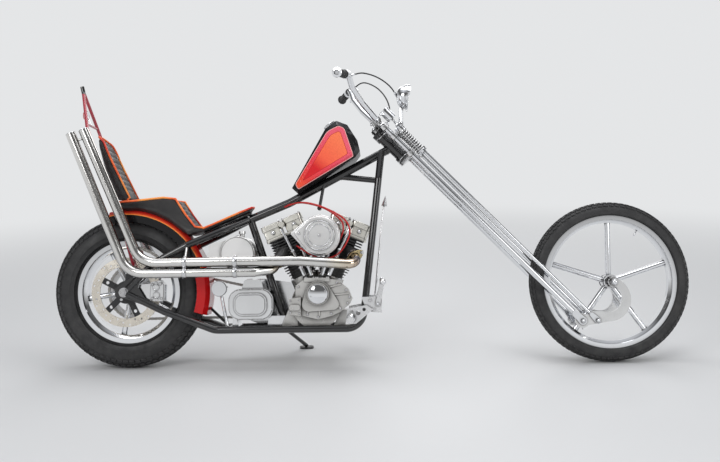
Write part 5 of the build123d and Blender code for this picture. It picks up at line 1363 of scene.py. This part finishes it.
bpy.ops.mesh.primitive_cone_add(vertices=4, radius1=0.0011, radius2=0.0002, depth=0.016)
needle = moved(bpy.context.object, turn_about("X", radians(-90)), Matrix.Translation((0, 0.005, 0)),
               turn_about("Z", radians(118)))
cap = turned(((0.0, 0.0012), (0.0020, 0.0010), (0.0024, 0.0), (0.0024, -0.0012), (0.0, -0.0012)), 20)
needle_paint = finish("needle_paint", (0.62, 0.02, 0.015), clean=0.3, dull=0.4, dust=0.0)
fitted("dial_needle", [set_at(piece, FACE - face_way * 0.0006, to_face) for piece in (needle, cap)], "fork",
       "red_paint", needle_paint)

# Plug wires: red silicone leads from the coil under the tank, round the air cleaner, to a
# black boot on each plug.
silicone = finish("red_silicone", (0.52, 0.018, 0.016), clean=0.22, dull=0.4, smear=30, dust=0.08)
rear_route = [(0.664, -0.016, 0.676), (0.712, -0.062, 0.690), (0.760, -0.106, 0.688), (0.808, -0.122, 0.676),
              (0.866, -0.126, 0.652), (0.926, -0.126, 0.616), (0.949, -0.122, 0.565), (0.931, -0.118, 0.515),
              (0.897, -0.112, 0.468), (0.846, -0.110, 0.450), (0.800, -0.112, 0.458), (0.752, -0.114, 0.486),
              (0.722, -0.112, 0.506), (0.715, -0.076, 0.510)]
front_route = [(0.676, -0.016, 0.682), (0.722, -0.050, 0.694), (0.790, -0.094, 0.680), (0.850, -0.114, 0.658),
               (0.912, -0.114, 0.612), (0.920, -0.114, 0.570), (0.902, -0.112, 0.532), (0.896, -0.076, 0.520)]
wires = [rod(route, 0.0035) for route in (rear_route, front_route)]
fitted("plug_leads", wires, "frame", "red_wire", silicone, "plug_wires")
BOOT = ((0.0036, -0.004), (0.0066, -0.004), (0.0074, -0.001), (0.0074, 0.014), (0.0062, 0.018), (0.0062, 0.026),
        (0.0048, 0.029), (0.0036, 0.029))
fitted("plug_boots", ended([rear_route[::-1], front_route[::-1]], BOOT, 24), "frame", "rubber", black_rubber)

# Foot controls: cut and polished plates on the downtubes with pegs in ribbed rubber, and on
# the left a tall shift rod that ends in a turned spear.
plate_alloy = finish("plate_alloy", (0.86, 0.86, 0.87), metal=1, clean=0.22, dull=0.36, smear=26, dust=0.10,
                     dust_top=0.5, corner_shade=0.010)
softened("foot_controls", 0.0012, 2, "polished", plate_alloy)
PEG_X, PEG_Z, PEG_R = 0.946, 0.206, 0.0122


def ribbed(length, core, ribs):
    """The section of a ribbed rubber sleeve over a core."""
    section = [(core, 0.0)]
    step = length / ribs
    for start in [rib * step for rib in range(ribs)]:
        section += [(core + 0.0022, start), (core + 0.0034, start + step * 0.2), (core + 0.0034, start + step * 0.6),
                    (core + 0.0022, start + step * 0.8)]
    return section + [(core + 0.0022, length), (core, length)]


PEG_END = ((PEG_R, 0.0), (0.0160, 0.0), (0.0164, 0.001), (0.0164, 0.004), (0.0140, 0.0062), (0.0, 0.0068))
PEG_ROOT = ((PEG_R, 0.0), (0.0170, 0.0), (0.0170, 0.010), (0.0150, 0.012), (PEG_R, 0.012))
sleeves, collars = [], []
for side, way in ((-1, RIGHT), (1, LEFT)):
    sleeves.append(turned_at((PEG_X, side * 0.176, PEG_Z), way, ribbed(0.082, PEG_R, 11), 28))
    sleeves.append(turned_at((1.077, side * 0.162, 0.354), way, ribbed(0.044, 0.0072, 7), 28))
    collars.append(turned_at((PEG_X, side * 0.259, PEG_Z), way, PEG_END, 32))
    collars.append(turned_at((PEG_X, side * 0.1550, PEG_Z), way, PEG_ROOT, 32))
fitted("peg_sleeves", sleeves, "frame", "rubber", black_rubber)
fitted("peg_collars", collars, "frame", "polished", polished)
fastened_each_side("plate_bolts", hex_head(0.011, 0.005), [(1.024, 0.1462, 0.278), (1.040, 0.1462, 0.240)])
fastened_each_side("pedal_bolts", domed_nut(0.012, 0.009), [(1.056, 0.1542, 0.262)], "frame", chrome, "chrome")

# Frame details: a weld bead of overlapped ripples round each tube end, and a cast cup pressed
# into each end of the neck.
RAIL_Y, RAIL_Z, RAIL_WELD = 0.112, 0.160, 0.0132
WELD_STEPS, WELD_SIDES = 48, 8
# Each weld: place, way of its tube, radius.
WELDS = [((1.101, 0, 0.913), (0.443, 0, 0.233), 0.0182), ((0.520, 0, 0.610), (0.153, 0, -0.465), 0.0162),
         ((0.909, 0, 0.803), (0.177, 0, -0.020), RAIL_WELD)]
WELDS += [((1.064, y, 0.785), LEFT, RAIL_WELD) for y in (-0.0475, 0.0475)]
WELDS += [((x, side * (RAIL_Y - 0.0150), RAIL_Z), LEFT, RAIL_WELD) for x in (0.430, 0.668, 0.905) for side in (-1, 1)]
beads = []
for place, way, radius in WELDS:
    bead = hoop(radius, 0.0022, place, way, WELD_STEPS, WELD_SIDES)
    for vertex in bead.data.vertices:
        vertex.co += Vector(way).normalized() * 0.0004 * (vertex.index // WELD_SIDES % 2)
    beads.append(bead)
fitted("weld_beads", beads, "frame", "black_paint", black_paint)
CUP = ((0.0242, 0.0), (0.0290, 0.0), (0.0298, 0.0008), (0.0298, 0.0036), (0.0290, 0.0044), (0.0242, 0.0044))
cups = [turned_at(on_fork(down, 0), DOWN_FORK, CUP, 48) for down in (-0.0655, 0.0611)]
fitted("neck_cups", cups, "frame", "steel", bright)

# Tail lamp: a small chromed can on a bent arm, with a moulded red lens, ribbed in rings,
# under a turned bezel.
dressed(chrome, "tail_lamp")
red_lens = finish("red_lens", (0.50, 0.010, 0.008), clean=0.06, dull=0.14, dust=0.05, coat=1.0)
LENS = [(0.0178, -0.0002), (0.0178, 0.0058), (0.0166, 0.0074)]
for rib in range(5):
    out = 0.0150 - rib * 0.0030
    LENS += [(out, 0.0078), (out - 0.0012, 0.0086)]
LENS.append((0.0, 0.0088))
BEZEL = ((0.0178, 0.0), (0.0206, 0.0), (0.0212, 0.001), (0.0208, 0.003), (0.0190, 0.0038), (0.0178, 0.0038))
for name, section, x, slot, material in (("lens", LENS, -0.1962, "red_paint", red_lens),
                                         ("bezel", BEZEL, -0.1958, "chrome", chrome)):
    piece = turned_at((x, 0, 1.086), (-1, 0, 0), section, 40)
    fitted("tail_" + name, [piece], "frame", slot, material)

# Fuel cap and fittings: a chromed cap with a grooved skirt, an oil filler cap, a drain plug,
# the bolts of the fender and the nuts of the axle plates.
bpy.ops.mesh.primitive_cylinder_add(vertices=96, radius=0.0278, depth=0.012)
cap = set_at(bpy.context.object, (0, 0, 0.006))
GROOVED = 0.962
for vertex in cap.data.vertices:
    if vertex.index // 2 % 4 < 2:
        vertex.co.x *= GROOVED
        vertex.co.y *= GROOVED
bevelled(cap, 0.0004, 1)
crown = turned(((0.0255, 0.0118), (0.0240, 0.0134), (0.0150, 0.0152), (0.0, 0.0158)), 48)
fitted("filler_cap", [set_at(piece, (0.864, 0, 1.020), pointing((-0.57, 0, 0.82))) for piece in (cap, crown)],
       "frame", "chrome", chrome, "fuel_cap")
OIL_CAP = ((0.012, -0.004), (0.012, 0.002), (0.016, 0.002), (0.0165, 0.003), (0.0165, 0.009), (0.0150, 0.0105),
           (0.0, 0.0112))
oil_cap = turned_at((0.452, 0.030, 0.546), (-0.25, 0, 1), OIL_CAP, 32)
fitted("oil_filler", [oil_cap], "frame", "polished", polished)
fastened("oil_drain", hex_head(0.014, 0.007), [(0.470, -0.050, 0.4082)], DOWN)
fastened_each_side("fender_bolts", domed_nut(0.011, 0.007), [(-0.024, 0.0950, 0.640)])
fastened_each_side("axle_plate_nuts", hex_head(0.012, 0.006), [(0.046, 0.1242, 0.392)])

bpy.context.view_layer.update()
import json
